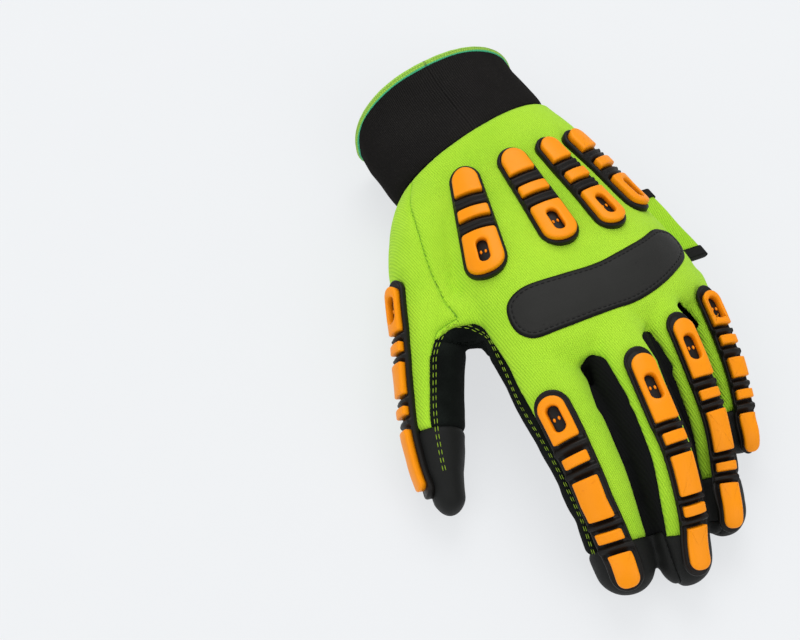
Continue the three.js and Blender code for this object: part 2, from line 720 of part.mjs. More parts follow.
// The bar patch over the knuckles and the overlays on the palm side
function patches() {
  const cover = layer(GAP, GAP + PATCH_THICK);
  const bar = prism(KNUCKLE_PATCH, PATCH_SPAN.low, PATCH_SPAN.high);
  piece('knuckle_patch', 'smooth', largest(cover.intersect(bar)));

  for (const [name, rows] of Object.entries(FINGER_PATCHES)) {
    const sample = (share, degrees) => {
      const station = LINES[name](share);
      const at = around(station, degrees, 0);
      const normal = around(station, degrees, 1).sub(at).normalize();
      return dropped(at.addScaledVector(normal, DROP.patch), normal);
    };
    const patch = loft(rows.map(({ share, left, right }) => {
      const half = (turn) => (turn > PATCH_BEND.over ? PATCH_BEND.at : turn * PATCH_BEND.share);
      const turns = [-right, -half(right), 0, half(left), left];
      const places = turns.map((turn) => sample(share, 180 + turn));
      return skin(places, GAP, GAP + SUEDE, true);
    }), false, true);
    piece(`finger_patch_${name}`, 'suede', largest(patch.subtract(handForm(GAP - TRIM))));
  }
  const suede = layer(GAP, GAP + SUEDE);
  const overlay = prism(PALM_OVERLAY, PALM_OVERLAY_SPAN.low, PALM_OVERLAY_SPAN.high);
  piece('palm_overlay', 'suede', largest(suede.intersect(overlay)));
}

patches();

// The pull tab on the little-finger side, with a binding at each short end
function sideTab() {
  const edge = (y) => {
    const i = HAND.findIndex((row) => row.ry < y);
    const [a, b] = [HAND[i - 1], HAND[i]];
    return a.rx + ((b.rx - a.rx) * (y - a.ry)) / (b.ry - a.ry);
  };
  const plan = (y0, y1, grow, low, high) => prism([
    { x: edge(y0) - TAB.tuck, y: y0 - grow },
    { x: edge(y0) + TAB.reach + grow, y: y0 - grow },
    { x: edge(y1) + TAB.reach + grow, y: y1 + grow },
    { x: edge(y1) - TAB.tuck, y: y1 + grow },
  ], low, high);
  const top = TAB.z + TAB.thick;
  const shell = GAP + BINDING_THICK;
  const keepOff = handForm(GAP);
  piece('side_tab', 'green', plan(TAB.y0, TAB.y1, 0, TAB.z, top).subtract(keepOff));
  const core = plan(TAB.y0, TAB.y1, GAP, TAB.z - GAP, top + GAP);
  const band = (y0, y1) => plan(y0, y1, 0, TAB.z - shell, top + shell).subtract(core).subtract(keepOff);
  piece('side_tab_binding_front', 'smooth', largest(band(TAB.y0 - shell, TAB.y0 + TAB.binding)));
  piece('side_tab_binding_back', 'smooth', largest(band(TAB.y1 - TAB.binding, TAB.y1 + shell)));
}

sideTab();

// The surface a finger guard follows. A place is found by its distance from the guard's
// knuckle end and its distance to one side of the guard's line.
function fingerSurface(name) {
  const { start, turn } = FINGER_GUARDS[name];
  const end = LINES[name](1);
  const turnAt = (share) => {
    const place = THREE.MathUtils.clamp((share - start) / (1 - start), 0, 1) * 2;
    const i = Math.min(Math.floor(place), 1);
    return turn[i] + (turn[i + 1] - turn[i]) * (place - i);
  };
  const surface = (share, degrees) => {
    const station = LINES[name](Math.min(share, 1));
    const rise = radians(Math.max(0, share - 1) * 90);
    const outward = around(station, degrees, 0).sub(station.at);
    const normal = around(station, degrees, 1).sub(station.at).sub(outward);
    normal.multiplyScalar(Math.cos(rise)).addScaledVector(end.along, Math.sin(rise)).normalize();
    const at = station.at.clone().addScaledVector(outward, Math.cos(rise));
    at.addScaledVector(end.along, Math.sin(rise) * end.h);
    return { at, normal, radius: outward.length() * Math.cos(rise) };
  };
  const line = [];
  for (let share = start; share <= LINE_END; share += LINE_STEP) {
    const { at, normal } = surface(share, turnAt(share));
    const point = at.addScaledVector(normal, PAD_FOOT);
    const before = line[line.length - 1];
    line.push({ share, point, along: before ? before.along + before.point.distanceTo(point) : 0 });
  }
  const rings = ringShares(name).concat(TIP_ANGLES.map((degrees) => 1 + degrees / 90));
  const breaks = rings.filter((share) => share > start).map((share) => (
    line[Math.min(Math.round((share - start) / LINE_STEP), line.length - 1)].along));
  const surfaceAt = (along, aside) => {
    const i = Math.max(1, line.findIndex((place) => place.along >= along));
    const [a, b] = [line[i - 1], line[i]];
    const share = a.share + ((b.share - a.share) * (along - a.along)) / (b.along - a.along);
    const { radius } = surface(share, turnAt(share));
    const spread = THREE.MathUtils.radToDeg(aside / (Math.max(radius, LEAST_RADIUS) + PAD_FOOT));
    const { at, normal } = surface(share, turnAt(share) + spread);
    return dropped(at.addScaledVector(normal, DROP.finger), normal);
  };
  return { surface: surfaceAt, breaks };
}

// The surface of the hand below a hand guard, found in the same way
function handSurface({ x0, y0, x1, y1, z, turn }) {
  const along = new THREE.Vector3(x1 - x0, y1 - y0, 0).normalize();
  const normal = Z.clone().applyAxisAngle(along, -radians(turn));
  const across = new THREE.Vector3().crossVectors(normal, along).normalize();
  const breaks = HAND.map((row) => {
    const edge = new THREE.Vector3(row.rx - row.lx, row.ry - row.ly, 0);
    const gap = new THREE.Vector3(row.lx - x0, row.ly - y0, 0);
    return gap.cross(edge).z / along.clone().cross(edge).z;
  });
  const surface = (distance, aside) => {
    const from = new THREE.Vector3(x0, y0, z).addScaledVector(along, distance);
    from.addScaledVector(across, aside).addScaledVector(normal, DROP.hand);
    return dropped(from, normal);
  };
  return { surface, breaks };
}

// A strip that lies on a surface between two levels. Each row gives a distance along it and
// its half width there.
const rowPlaces = (surface, along, half) => [-half, 0, half].map((aside) => surface(along, aside));

function strip(surface, rows, low, high) {
  return loft(rows.map(([along, half]) => skin(rowPlaces(surface, along, half), low, high)), false, true);
}

// The rows of a strip, with one more wherever the surface below it bends
function followed(rows, breaks) {
  return rows.flatMap(([along, half], i) => {
    const next = rows[i + 1];
    if (!next) return [[along, half]];
    const apart = (at) => at > along + CLOSE_ROWS && at < next[0] - CLOSE_ROWS;
    const between = breaks.filter(apart).sort((a, b) => a - b);
    const blend = (at) => half + ((next[1] - half) * (at - along)) / (next[0] - along);
    return [[along, half], ...between.map((at) => [at, blend(at)])];
  });
}

// An oval hole through a pad, along a guard
function slotHole(surface, middle, length, width) {
  const { at, normal } = surface(middle, 0);
  const ahead = surface(middle + 1, 0).at.sub(at);
  const across = new THREE.Vector3().crossVectors(normal, ahead).normalize();
  const along = new THREE.Vector3().crossVectors(across, normal);
  const half = width / 2;
  const run = length / 2 - half;
  const shape = new THREE.Shape();
  shape.absarc(run, 0, half, -Math.PI / 2, Math.PI / 2, false);
  shape.absarc(-run, 0, half, Math.PI / 2, 1.5 * Math.PI, false);
  const geometry = new THREE.ExtrudeGeometry(shape, {
    depth: SLOT.depth, bevelEnabled: false, curveSegments: SLOT_SEGMENTS,
  });
  const place = new THREE.Matrix4().makeBasis(along, across, normal);
  place.setPosition(at.clone().addScaledVector(normal, BASE_TOP));
  return solidOf(geometry, place);
}

// The rows of a whole row of pads: each pad from end to end, with the low link to the next
function padRows(pads, breaks) {
  const between = (rows, low, high) => (
    followed(rows, breaks).map(([along, half]) => ({ along, half, low, high })));
  return pads.flatMap((rows, i) => {
    const pad = between(rows, PAD_FOOT, PAD_TOP);
    const next = pads[i + 1];
    if (!next) return pad;
    const span = [[rows.at(-1)[0], LINK_HALF], [next[0][0], LINK_HALF]];
    return [...pad, ...between(span, LINK_FOOT, LINK_TOP)];
  });
}

// A guard: a black base, and orange pads joined by low links. One pad has a slot in it.
function guard(name, { surface, breaks }, outline, pads, slotted) {
  const rest = followed(outline, breaks);
  const base = strip(surface, rest, GAP + BED, BASE_TOP).subtract(handForm(GAP - TRIM));
  const raised = loft(padRows(pads, breaks).map(({ along, half, low, high }) => (
    skin(rowPlaces(surface, along, half), low, high))), false, true);
  const [from, to] = [pads[slotted][0][0], pads[slotted].at(-1)[0]];
  const length = Math.min(SLOT.length, to - from - SLOT.margin);
  const width = Math.min(SLOT.width, 2 * (pads[slotted].at(-1)[1] - SLOT.wall));
  const slot = slotHole(surface, (from + to) / 2, length, width);
  piece(`${name}_base`, 'rubber', largest(base));
  const under = strip(surface, rest, 0, PAD_FOOT - TRIM);
  piece(`${name}_pads`, 'orange', largest(raised.subtract(under).subtract(slot)));
}

// The rows of a rounded end, from its tip inwards or, with a sign of -1, towards its tip
const rounded = (end, from, half, sign = 1) => (
  ENDS[end].map(({ at, share }) => [from + sign * at, half * share]));

// The guards along the fingers and the thumb
for (const [name, { pads, end, base, pad }] of Object.entries(FINGER_GUARDS)) {
  const knuckle = base + KNUCKLE_WIDER;
  const outline = [
    ...rounded('knuckle', 0, knuckle), [pads[1], knuckle],
    [pads[2], base], ...rounded('tip', end, base, -1),
  ];
  const plates = [];
  for (let i = 0; i < pads.length; i += 2) {
    const last = i === pads.length - 2;
    const half = i === 0 ? pad + KNUCKLE_WIDER : pad * (last ? TIP_SLIM : 1);
    const start = i === 0 ? rounded('knucklePad', pads[i], half) : [[pads[i], half]];
    plates.push([...start, [pads[i + 1], half]]);
  }
  guard(`guard_${name}`, fingerSurface(name), outline, plates, 0);
}

// The guards over the hand bones
for (const row of HAND_GUARDS) {
  const { narrow, wide } = row;
  const length = Math.hypot(row.x1 - row.x0, row.y1 - row.y0);
  const outline = [...rounded('wrist', 0, narrow), ...rounded('foot', length, wide, -1)];
  const plates = Object.entries(HAND_GUARD_SHARES).map(([key, shares]) => {
    const [start, end] = shares.map((share) => {
      const half = narrow + (wide - narrow) * share - HAND_GUARD_RIM;
      return [share * length, half];
    });
    return [start, ...(key === 'foot' ? rounded('footPad', ...end, -1) : [end])];
  });
  guard(`hand_guard_${row.name}`, handSurface(row), outline, plates, plates.length - 1);
}

const glove = new THREE.Group();
pieces.forEach((one) => glove.add(meshOf(one)));

// The glove stands on z = 0 with the middle of its outline box over the origin
const box = new THREE.Box3().setFromObject(glove);
const middle = box.getCenter(new THREE.Vector3());
glove.position.set(-middle.x, -middle.y, -box.min.z);

export default glove;
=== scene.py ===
"""Mechanic glove for the left hand: knit back, moulded guards, suede palm and ribbed cuff.

Every piece is modelled in millimetres in the glove's own layout, with the fingers towards -Y and
the thumb on the -X side, and is brought into the frame, in metres, when it is finished.
"""

import logging
import math
from dataclasses import dataclass, field
from enum import Enum
from typing import Callable, Iterable, Sequence

import bmesh
import bpy
import numpy as np
from bmesh.types import BMesh
from mathutils import Matrix, Vector, noise
from mathutils.bvhtree import BVHTree
from mathutils.kdtree import KDTree


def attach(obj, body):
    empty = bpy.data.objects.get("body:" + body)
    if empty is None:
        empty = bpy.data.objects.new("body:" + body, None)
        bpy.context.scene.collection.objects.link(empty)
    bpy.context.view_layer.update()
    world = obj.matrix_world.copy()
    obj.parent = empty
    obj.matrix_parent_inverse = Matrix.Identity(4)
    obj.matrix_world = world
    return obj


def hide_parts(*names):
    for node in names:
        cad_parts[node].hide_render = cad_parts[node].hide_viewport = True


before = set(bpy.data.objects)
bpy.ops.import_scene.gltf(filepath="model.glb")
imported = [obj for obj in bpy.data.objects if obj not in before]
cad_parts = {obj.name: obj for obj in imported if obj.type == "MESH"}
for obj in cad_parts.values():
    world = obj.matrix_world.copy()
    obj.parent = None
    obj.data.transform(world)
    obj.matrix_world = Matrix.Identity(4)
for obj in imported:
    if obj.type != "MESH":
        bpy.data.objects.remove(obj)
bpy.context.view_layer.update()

LOG = logging.getLogger("glove")
UP = Vector((0.0, 0.0, 1.0))

# Layout of the glove within the frame, in millimetres
SHIFT = Vector((1.6174, -11.4833, 0.0))
MM = 0.001
PLACE = Matrix.Scale(MM, 4) @ Matrix.Translation(SHIFT)

# A field's values at places, one row each, positive inside
Field = Callable[[np.ndarray], np.ndarray]

# Points closer than this are one, in millimetres; a cut nearer to a vertex than this share of an
# edge moves the vertex instead; and what stands for a field's zero before a cut
MERGE = 1e-4
SNAP = 0.14
TINY = 1e-6

# Levels and thicknesses, in millimetres
FLOOR_LIFT = 1.3
WALL = 1.5
VOXEL = 0.9
BASE_TOP = 2.5
PAD_FOOT = 2.1
PAD_TOP = 5.1

HAND_FINGERS = ("index", "middle", "ring", "little")

# Sections across the hand: thumb-side edge, little-finger edge, rise and drop, the powers of
# the rounding above and below, and the height of the palm seam on the thumb side
HAND = (
    ((-35.0, 93.0, 20.0), (33.6, 111.5, 22.0), (21.0, 22.0), (2.2, 2.4), 20.0),
    ((-35.4, 81.7, 20.0), (37.1, 101.1, 22.0), (21.5, 22.5), (2.2, 2.4), 20.0),
    ((-36.5, 64.0, 22.0), (45.5, 82.0, 22.0), (23.0, 23.0), (2.3, 2.4), 22.0),
    ((-35.5, 46.0, 25.0), (49.8, 62.0, 21.0), (24.5, 23.0), (2.4, 2.4), 24.0),
    ((-34.0, 28.0, 28.0), (54.5, 43.5, 20.0), (25.5, 20.0), (2.4, 2.4), 27.0),
    ((-31.5, 10.0, 30.0), (59.8, 25.0, 20.0), (25.5, 13.5), (2.4, 2.5), 38.8),
    ((-30.0, -6.0, 31.0), (62.8, 10.0, 19.0), (25.0, 8.0), (2.3, 2.6), 40.0),
    ((-28.5, -19.0, 31.0), (62.6, -1.0, 18.0), (23.5, 4.0), (2.1, 2.6), 40.0),
    ((-22.0, -26.5, 31.0), (57.0, -8.0, 20.0), (18.0, 1.5), (2.0, 2.4), 40.0),
)
WRIST_SEAM = (Vector((-35.4, 81.7, 20.0)), Vector((37.1, 101.1, 22.0)))

# Centre lines of the fingers: place, half width and half height
FINGERS = {
    "index": (
        (-15.6, -6.0, 32.5, 13.6, 13.6), (-14.6, -28.6, 33.0, 14.5, 13.6), (-13.1, -44.4, 31.0, 14.5, 13.4),
        (-11.9, -60.1, 27.0, 14.0, 13.0), (-11.2, -72.5, 20.5, 13.0, 12.5), (-11.2, -83.6, 14.6, 12.4, 12.0),
        (-11.8, -92.0, 12.2, 11.6, 11.3),
    ),
    "middle": (
        (16.8, -4.0, 36.0, 12.4, 12.5), (14.6, -30.0, 36.5, 13.1, 12.4), (13.7, -53.1, 34.5, 12.7, 12.2),
        (13.7, -66.3, 31.0, 11.9, 12.0), (13.0, -78.0, 25.0, 11.4, 11.6), (12.0, -88.0, 17.2, 11.0, 11.0),
        (10.3, -97.0, 11.6, 10.5, 10.5),
    ),
    "ring": (
        (37.0, 4.0, 30.0, 11.4, 12.0), (37.0, -18.1, 30.0, 11.1, 11.8), (36.7, -32.4, 28.4, 10.9, 11.4),
        (36.4, -44.0, 25.4, 10.7, 11.2), (36.0, -56.0, 20.6, 10.5, 11.0), (34.8, -66.7, 15.0, 10.3, 10.6),
        (33.2, -76.2, 11.8, 10.0, 10.2), (31.4, -84.4, 10.8, 9.7, 9.9),
    ),
    "little": (
        (54.6, 8.0, 19.4, 10.2, 10.8), (54.4, -14.0, 18.0, 10.0, 10.6), (53.6, -31.0, 15.8, 9.8, 10.2),
        (52.8, -42.0, 13.2, 9.6, 9.9), (52.0, -50.5, 10.8, 9.3, 9.6), (51.4, -56.5, 9.9, 8.9, 9.1),
    ),
    "thumb": (
        (-19.0, 80.0, 22.0, 13.0, 15.0), (-27.6, 62.0, 24.5, 17.2, 18.0), (-35.3, 46.0, 26.0, 16.6, 17.0),
        (-41.2, 31.0, 25.8, 14.4, 15.6), (-46.4, 14.7, 23.6, 12.7, 14.4), (-53.3, -5.7, 19.6, 11.1, 13.4),
        (-57.9, -20.8, 16.4, 9.9, 12.6), (-61.0, -34.0, 13.4, 8.0, 11.4), (-62.3, -42.0, 11.4, 6.4, 10.0),
    ),
}
WEB = (
    (-50.0, 23.0, 26.5, 8.0, 10.0), (-40.0, 20.0, 28.5, 9.0, 10.0), (-31.0, 17.0, 30.0, 12.0, 11.0),
    (-20.0, 14.0, 31.0, 12.0, 11.0),
)

# Sections of the cuff: thumb-side edge, little-finger edge, rise and drop, lean of the back
CUFF = (
    ((-35.5, 82.1, 20.0), (37.0, 101.5, 22.0), (21.5, 22.0), 0.0),
    ((-37.4, 92.0, 19.6), (34.8, 109.5, 22.0), (21.8, 21.5), 2.0),
    ((-39.8, 104.0, 19.2), (32.4, 118.5, 21.6), (22.8, 21.0), 5.0),
    ((-40.5, 114.6, 18.8), (30.6, 125.2, 21.4), (24.0, 20.5), 8.0),
)
CUFF_POWER = 2.2
CUFF_LENGTH = 42.0

CAP_START = {"index": 0.86, "middle": 0.84, "ring": 0.8, "little": 0.76, "thumb": 0.735}
# The strips of each pair of fingers: for both, the share at which it starts and the degrees of
# its back seam at four shares
CROTCHES = {
    ("index", "middle"): ((0.2, (72, 56, 56, 56)), (0.2, (44, 32, 36, 45))),
    ("middle", "ring"): ((0.17, (60, 60, 60, 60)), (0.22, (37, 37, 40, 44))),
    ("ring", "little"): ((0.12, (62, 62, 62, 62)), (0.18, (26, 26, 26, 28))),
}
# The dark slits between the knuckles, black knit that stands partly for the fourchette seen between the
# fingers and partly for painted shade in the gap between them: both ends and half the width there
SLITS = {
    ("index", "middle"): ((3.1, -25.3, 42.2), (2.8, -40.9, 41.9), 3.8, 5.4),
    ("middle", "ring"): ((26.6, -20.4, 42.2), (29.4, -32.9, 36.9), 1.9, 1.7),
    ("ring", "little"): ((46.0, -10.2, 37.1), (50.3, -15.2, 27.9), 1.4, 1.2),
}
# Fills the hole behind the crotch of the forefinger: place and radius
CROTCH_FILL = ((2.4, -23.6, 29.5), 4.4)
SLIT_LEAN = (-0.179, -0.467, 0.866)
SLIT_DEPTH = 22.0
STRIP_SHARES = (0.15, 0.3, 0.5, 0.7)
STRIP_PALM = 124.0
ULNAR_SEAM = 96.0
FOREFINGER_SEAM = ((-0.02, 0.3, 0.6, 0.9), (-64.0, -60.0, -58.0, -56.0))

# Green back of the thumb: share of its length, from and to in degrees, reach in millimetres
THUMB_BACK = np.array((
    (-0.1, -62, -140, 40), (0.131, -33.4, -140, 37), (0.222, -17.4, -142, 35), (0.303, -5, -143, 33),
    (0.347, 2.7, -144, 32), (0.389, 13.3, -145, 31), (0.436, 24.6, -146, 30), (0.468, 31, -146, 30),
    (0.5, 5, -148, 28), (0.56, -10, -149, 27), (0.7, -17, -150, 23), (0.9, -18, -150, 20),
), float)
THUMB_FRONT_START = 0.52
THUMB_FRONT_REACH = 22.0

KNUCKLE_PATCH = (
    (-21.0, 3.0), (-19.2, 8.4), (-12.6, 11.8), (3.4, 11.4), (20.5, 12.3), (40.5, 18.6), (49.9, 23.6),
    (56.0, 23.0), (58.6, 17.5), (56.7, 10.4), (44.3, 0.0), (29.0, -6.7), (11.3, -8.9), (-5.4, -9.7),
    (-15.8, -8.9), (-20.2, -4.0),
)
PALM_OVERLAY = (
    (51, 14), (38, 5), (-4, -3), (-18, -4), (-22, 4), (-24, 50), (-24, 74), (33, 90), (42, 62),
    (48, 40), (16, 26), (-2, 16), (-2, 8), (18, 16), (51, 27),
)
# Suede patches on the finger fronts: share, and the turn to each side of the palm line
FINGER_PATCHES = {
    "index": ((0.22, 0.36, 0.4, 0.48, 0.52, 0.6, 0.68, 0.72, 0.82), (56, 56, 24, 24, 56, 56, 56, 56, 54),
              (48, 48, 48, 48, 48, 22, 22, 46, 44)),
    "middle": ((0.26, 0.36, 0.4, 0.48, 0.52, 0.58, 0.66, 0.7, 0.8), (44, 44, 22, 22, 44, 44, 44, 44, 44),
               (42, 42, 42, 42, 42, 22, 22, 42, 42)),
    "ring": ((0.24, 0.34, 0.38, 0.46, 0.5, 0.56, 0.64, 0.68, 0.76), (40, 40, 20, 20, 40, 40, 40, 40, 40),
             (34, 34, 34, 34, 34, 20, 20, 34, 34)),
    "little": ((0.28, 0.36, 0.41, 0.5, 0.55, 0.72), (36, 36, 20, 20, 36, 36), (46, 46, 46, 46, 46, 46)),
}


def linear(red: float, green: float, blue: float) -> tuple[float, float, float, float]:
    """A screen colour from 0 to 255 as the shader's linear colour."""
    def channel(value: float) -> float:
        """One channel in linear light."""
        share = value / 255.0
        return share / 12.92 if share <= 0.04045 else ((share + 0.055) / 1.055) ** 2.4
    return channel(red), channel(green), channel(blue), 1.0


def smoothstep(low: float, high: float, value: np.ndarray) -> np.ndarray:
    """Eases from 0 to 1 between two values."""
    share = np.clip((value - low) / (high - low), 0.0, 1.0)
    return share * share * (3.0 - 2.0 * share)


def smooth_max(one: np.ndarray, other: np.ndarray, width: float) -> np.ndarray:
    """The larger of two fields, rounded where they meet."""
    gap = np.clip(width - np.abs(one - other), 0.0, None) / width
    return np.maximum(one, other) + gap * gap * width * 0.25


def smooth_min(one: np.ndarray, other: np.ndarray, width: float) -> np.ndarray:
    """The smaller of two fields, rounded where they meet."""
    return -smooth_max(-one, -other, width)


class Spline:
    """A centripetal curve through points."""

    def __init__(self, points: Iterable[Sequence[float]]) -> None:
        """Keeps the points."""
        self.points = [np.array(point, float) for point in points]

    def at(self, share: float) -> np.ndarray:
        """The point at a share of the rows.

        Args:
            share: from 0 at the first point to 1 at the last.

        Returns:
            The point on the curve.
        """
        spans = len(self.points) - 1
        place = min(max(share, 0.0), 1.0) * spans
        i = min(int(place), spans - 1)
        t = place - i
        p1, p2 = self.points[i], self.points[i + 1]
        p0 = self.points[i - 1] if i > 0 else 2 * p1 - p2
        p3 = self.points[i + 2] if i + 2 <= spans else 2 * p2 - p1
        d0, d1, d2 = (float(np.linalg.norm(b - a)) ** 0.5 for a, b in ((p0, p1), (p1, p2), (p2, p3)))
        d1 = d1 if d1 > 1e-4 else 1.0
        d0 = d0 if d0 > 1e-4 else d1
        d2 = d2 if d2 > 1e-4 else d1
        start = ((p1 - p0) / d0 - (p2 - p0) / (d0 + d1) + (p2 - p1) / d1) * d1
        end = ((p2 - p1) / d1 - (p3 - p1) / (d1 + d2) + (p3 - p2) / d2) * d1
        curve = -3 * p1 + 3 * p2 - 2 * start - end
        return p1 + start * t + curve * t * t + (2 * p1 - 2 * p2 + start + end) * t ** 3

    def tangent(self, share: float) -> np.ndarray:
        """The unit direction of the curve at a share."""
        low, high = max(share - 1e-4, 0.0), min(share + 1e-4, 1.0)
        step = self.at(high) - self.at(low)
        return step / np.linalg.norm(step)


@dataclass(frozen=True)
class Station:
    """A place on a finger's centre line with its frame and half sizes."""

    at: Vector
    along: Vector
    side: Vector
    up: Vector
    width: float
    height: float

    def around(self, degrees: float, offset: float) -> Vector:
        """A point beside the centre line, at an angle from the top line."""
        angle = math.radians(degrees)
        across = self.side * (math.sin(angle) * (self.width + offset))
        return self.at + across + self.up * (math.cos(angle) * (self.height + offset))


class FingerLine:
    """The centre line of a finger, the thumb or the web."""

    OVERRUN = 90.0
    SAMPLES = 81
    BEYOND = 0.3
    BATCH = 20000

    def __init__(self, rows: Sequence[Sequence[float]]) -> None:
        """Makes the curves of the line and of its sizes."""
        self.centre = Spline([row[:3] for row in rows])
        self.sizes = Spline([(row[3], row[4], 0.0) for row in rows])
        samples = [self.station(share) for share in np.linspace(0, 1, self.SAMPLES)]
        self.length = sum((b.at - a.at).length for a, b in zip(samples, samples[1:]))

    def station(self, share: float) -> Station:
        """The station at a share of the line, which runs straight on past its ends."""
        inside = min(max(share, 0.0), 1.0)
        along = Vector(self.centre.tangent(inside))
        side = UP.cross(along).normalized()
        up = along.cross(side).normalized()
        width, height, _ = self.sizes.at(inside)
        at = Vector(self.centre.at(inside)) + along * ((share - inside) * self.OVERRUN)
        return Station(at, along, side, up, width, height)

    def locate(self, points: np.ndarray) -> tuple[np.ndarray, np.ndarray, np.ndarray]:
        """Finds points beside the line.

        Args:
            points: the places, one row each.

        Returns:
            The share of the line, the degrees from its top and the distance from it.
        """
        before, after = np.linspace(-self.BEYOND, 0, 20)[:-1], np.linspace(1, 1 + self.BEYOND, 20)[1:]
        shares = np.concatenate((before, np.linspace(0, 1, self.SAMPLES), after))
        stations = [self.station(share) for share in shares]
        keys = ("at", "along", "side", "up")
        at, along, side, up = (np.array([getattr(s, key)[:] for s in stations]) for key in keys)
        nearest = np.zeros(len(points), int)
        for start in range(0, len(points), self.BATCH):
            part = points[start:start + self.BATCH]
            far = ((part[:, None, :] - at[None, :, :]) ** 2).sum(2)
            nearest[start:start + self.BATCH] = far.argmin(1)
        gap = points - at[nearest]
        step = (gap * along[nearest]).sum(1)
        beside = (gap * side[nearest]).sum(1)
        above = (gap * up[nearest]).sum(1)
        scale = np.where((shares[nearest] < 0) | (shares[nearest] > 1), self.OVERRUN, self.length)
        return shares[nearest] + step / scale, np.degrees(np.arctan2(beside, above)), np.hypot(beside, above)


LINES = {name: FingerLine(rows) for name, rows in FINGERS.items()}


def rested(point: Vector) -> Vector:
    """Keeps a point of the fabric off the surface that the glove lies on."""
    point.z = max(point.z, FLOOR_LIFT)
    return point


def section(left: np.ndarray, right: np.ndarray, rise: float, drop: float, powers: tuple[float, float],
            lean: float, offset: float, sides: int) -> list[Vector]:
    """One section of the hand or the cuff, flat across and domed above and below.

    Args:
        left: its thumb-side edge.
        right: its little-finger edge.
        rise: height above the middle.
        drop: depth below the middle.
        powers: roundness above and below.
        lean: how far its back leans towards the rim.
        offset: growth of the section.
        sides: how many points it has.

    Returns:
        The points round the section, from its top.
    """
    one, two = Vector(left), Vector(right)
    middle = (one + two) / 2
    half = (two - one).length / 2
    across = (two - one).normalized()
    outward = Vector((-across.y, across.x, 0.0)).normalized()
    ring = []
    for i in range(sides):
        angle = i / sides * math.tau
        sine, cosine = math.sin(angle), math.cos(angle)
        power = 2 / (powers[0] if cosine > 0 else powers[1])
        aside = math.copysign(abs(sine) ** power, sine)
        lift = math.copysign(abs(cosine) ** power, cosine)
        height = (rise if lift > 0 else drop) + offset
        point = middle + across * (aside * (half + offset)) + UP * (lift * height)
        point += outward * (lean * (lift if lift > 0 else lift * 0.35))
        point.z = max(point.z, FLOOR_LIFT - offset)
        ring.append(point)
    return ring


def sheet(bm: BMesh, rows: Sequence[Sequence[Vector]], around: bool = True, loop: bool = False) -> None:
    """Adds a grid whose rows run through given points.

    Args:
        bm: the mesh that gets it.
        rows: the points of each row, all of one count.
        around: whether each row closes on itself.
        loop: whether the last row joins the first.
    """
    rows = list(rows) + ([rows[0]] if loop else [])
    rows = [list(row) + ([row[0]] if around else []) for row in rows]
    made = bmesh.ops.create_grid(bm, x_segments=len(rows[0]) - 1, y_segments=len(rows) - 1, size=1.0)["verts"]
    for vert, point in zip(made, (point for row in rows for point in row)):
        vert.co = point
    bmesh.ops.remove_doubles(bm, verts=made, dist=MERGE)


def closed(bm: BMesh) -> None:
    """Fills open ends and turns all faces outward."""
    edges = [edge for edge in bm.edges if edge.is_boundary]
    if edges:
        bmesh.ops.holes_fill(bm, edges=edges, sides=0)
    bmesh.ops.recalc_face_normals(bm, faces=bm.faces)


def points_of(bm: BMesh) -> np.ndarray:
    """The coordinates of a mesh, one row for each vertex."""
    return np.array([vert.co[:] for vert in bm.verts], float).reshape(-1, 3)


def cut(bm: BMesh, value: Field, label: int) -> None:
    """Cuts the faces that have no panel yet along the zero line of a field, and labels one side.

    Args:
        bm: the mesh, whose faces have the int layer panel.
        value: the field, positive inside the panel.
        label: the panel's number.
    """
    panel = bm.faces.layers.int["panel"]
    field_value = bm.verts.layers.float.get("field") or bm.verts.layers.float.new("field")
    for vert, here in zip(bm.verts, value(points_of(bm))):
        vert[field_value] = float(here) or TINY
    edges = [edge for edge in bm.edges if any(not face[panel] for face in edge.link_faces)]
    taken = {vert for face in bm.faces if face[panel] for vert in face.verts}
    for edge in edges:
        a, b = edge.verts
        one, two = a[field_value], b[field_value]
        if one * two >= 0:
            continue
        share = one / (one - two)
        near = a if share < SNAP else b if share > 1 - SNAP else None
        if near is not None and near not in taken:
            near.co = a.co.lerp(b.co, share)
            near[field_value] = 0.0
    crossing = [edge for edge in edges if edge.verts[0][field_value] * edge.verts[1][field_value] < 0]
    made = bmesh.ops.bisect_edges(bm, edges=crossing, cuts=1)
    for vert in made["geom_split"]:
        if isinstance(vert, bmesh.types.BMVert):
            a, b = (edge.other_vert(vert) for edge in vert.link_edges)
            vert.co = a.co.lerp(b.co, a[field_value] / (a[field_value] - b[field_value]))
            vert[field_value] = 0.0
    bmesh.ops.connect_verts(bm, verts=[vert for vert in bm.verts if vert[field_value] == 0.0])
    for face in bm.faces:
        if not face[panel] and sum(vert[field_value] for vert in face.verts) > 0:
            face[panel] = label


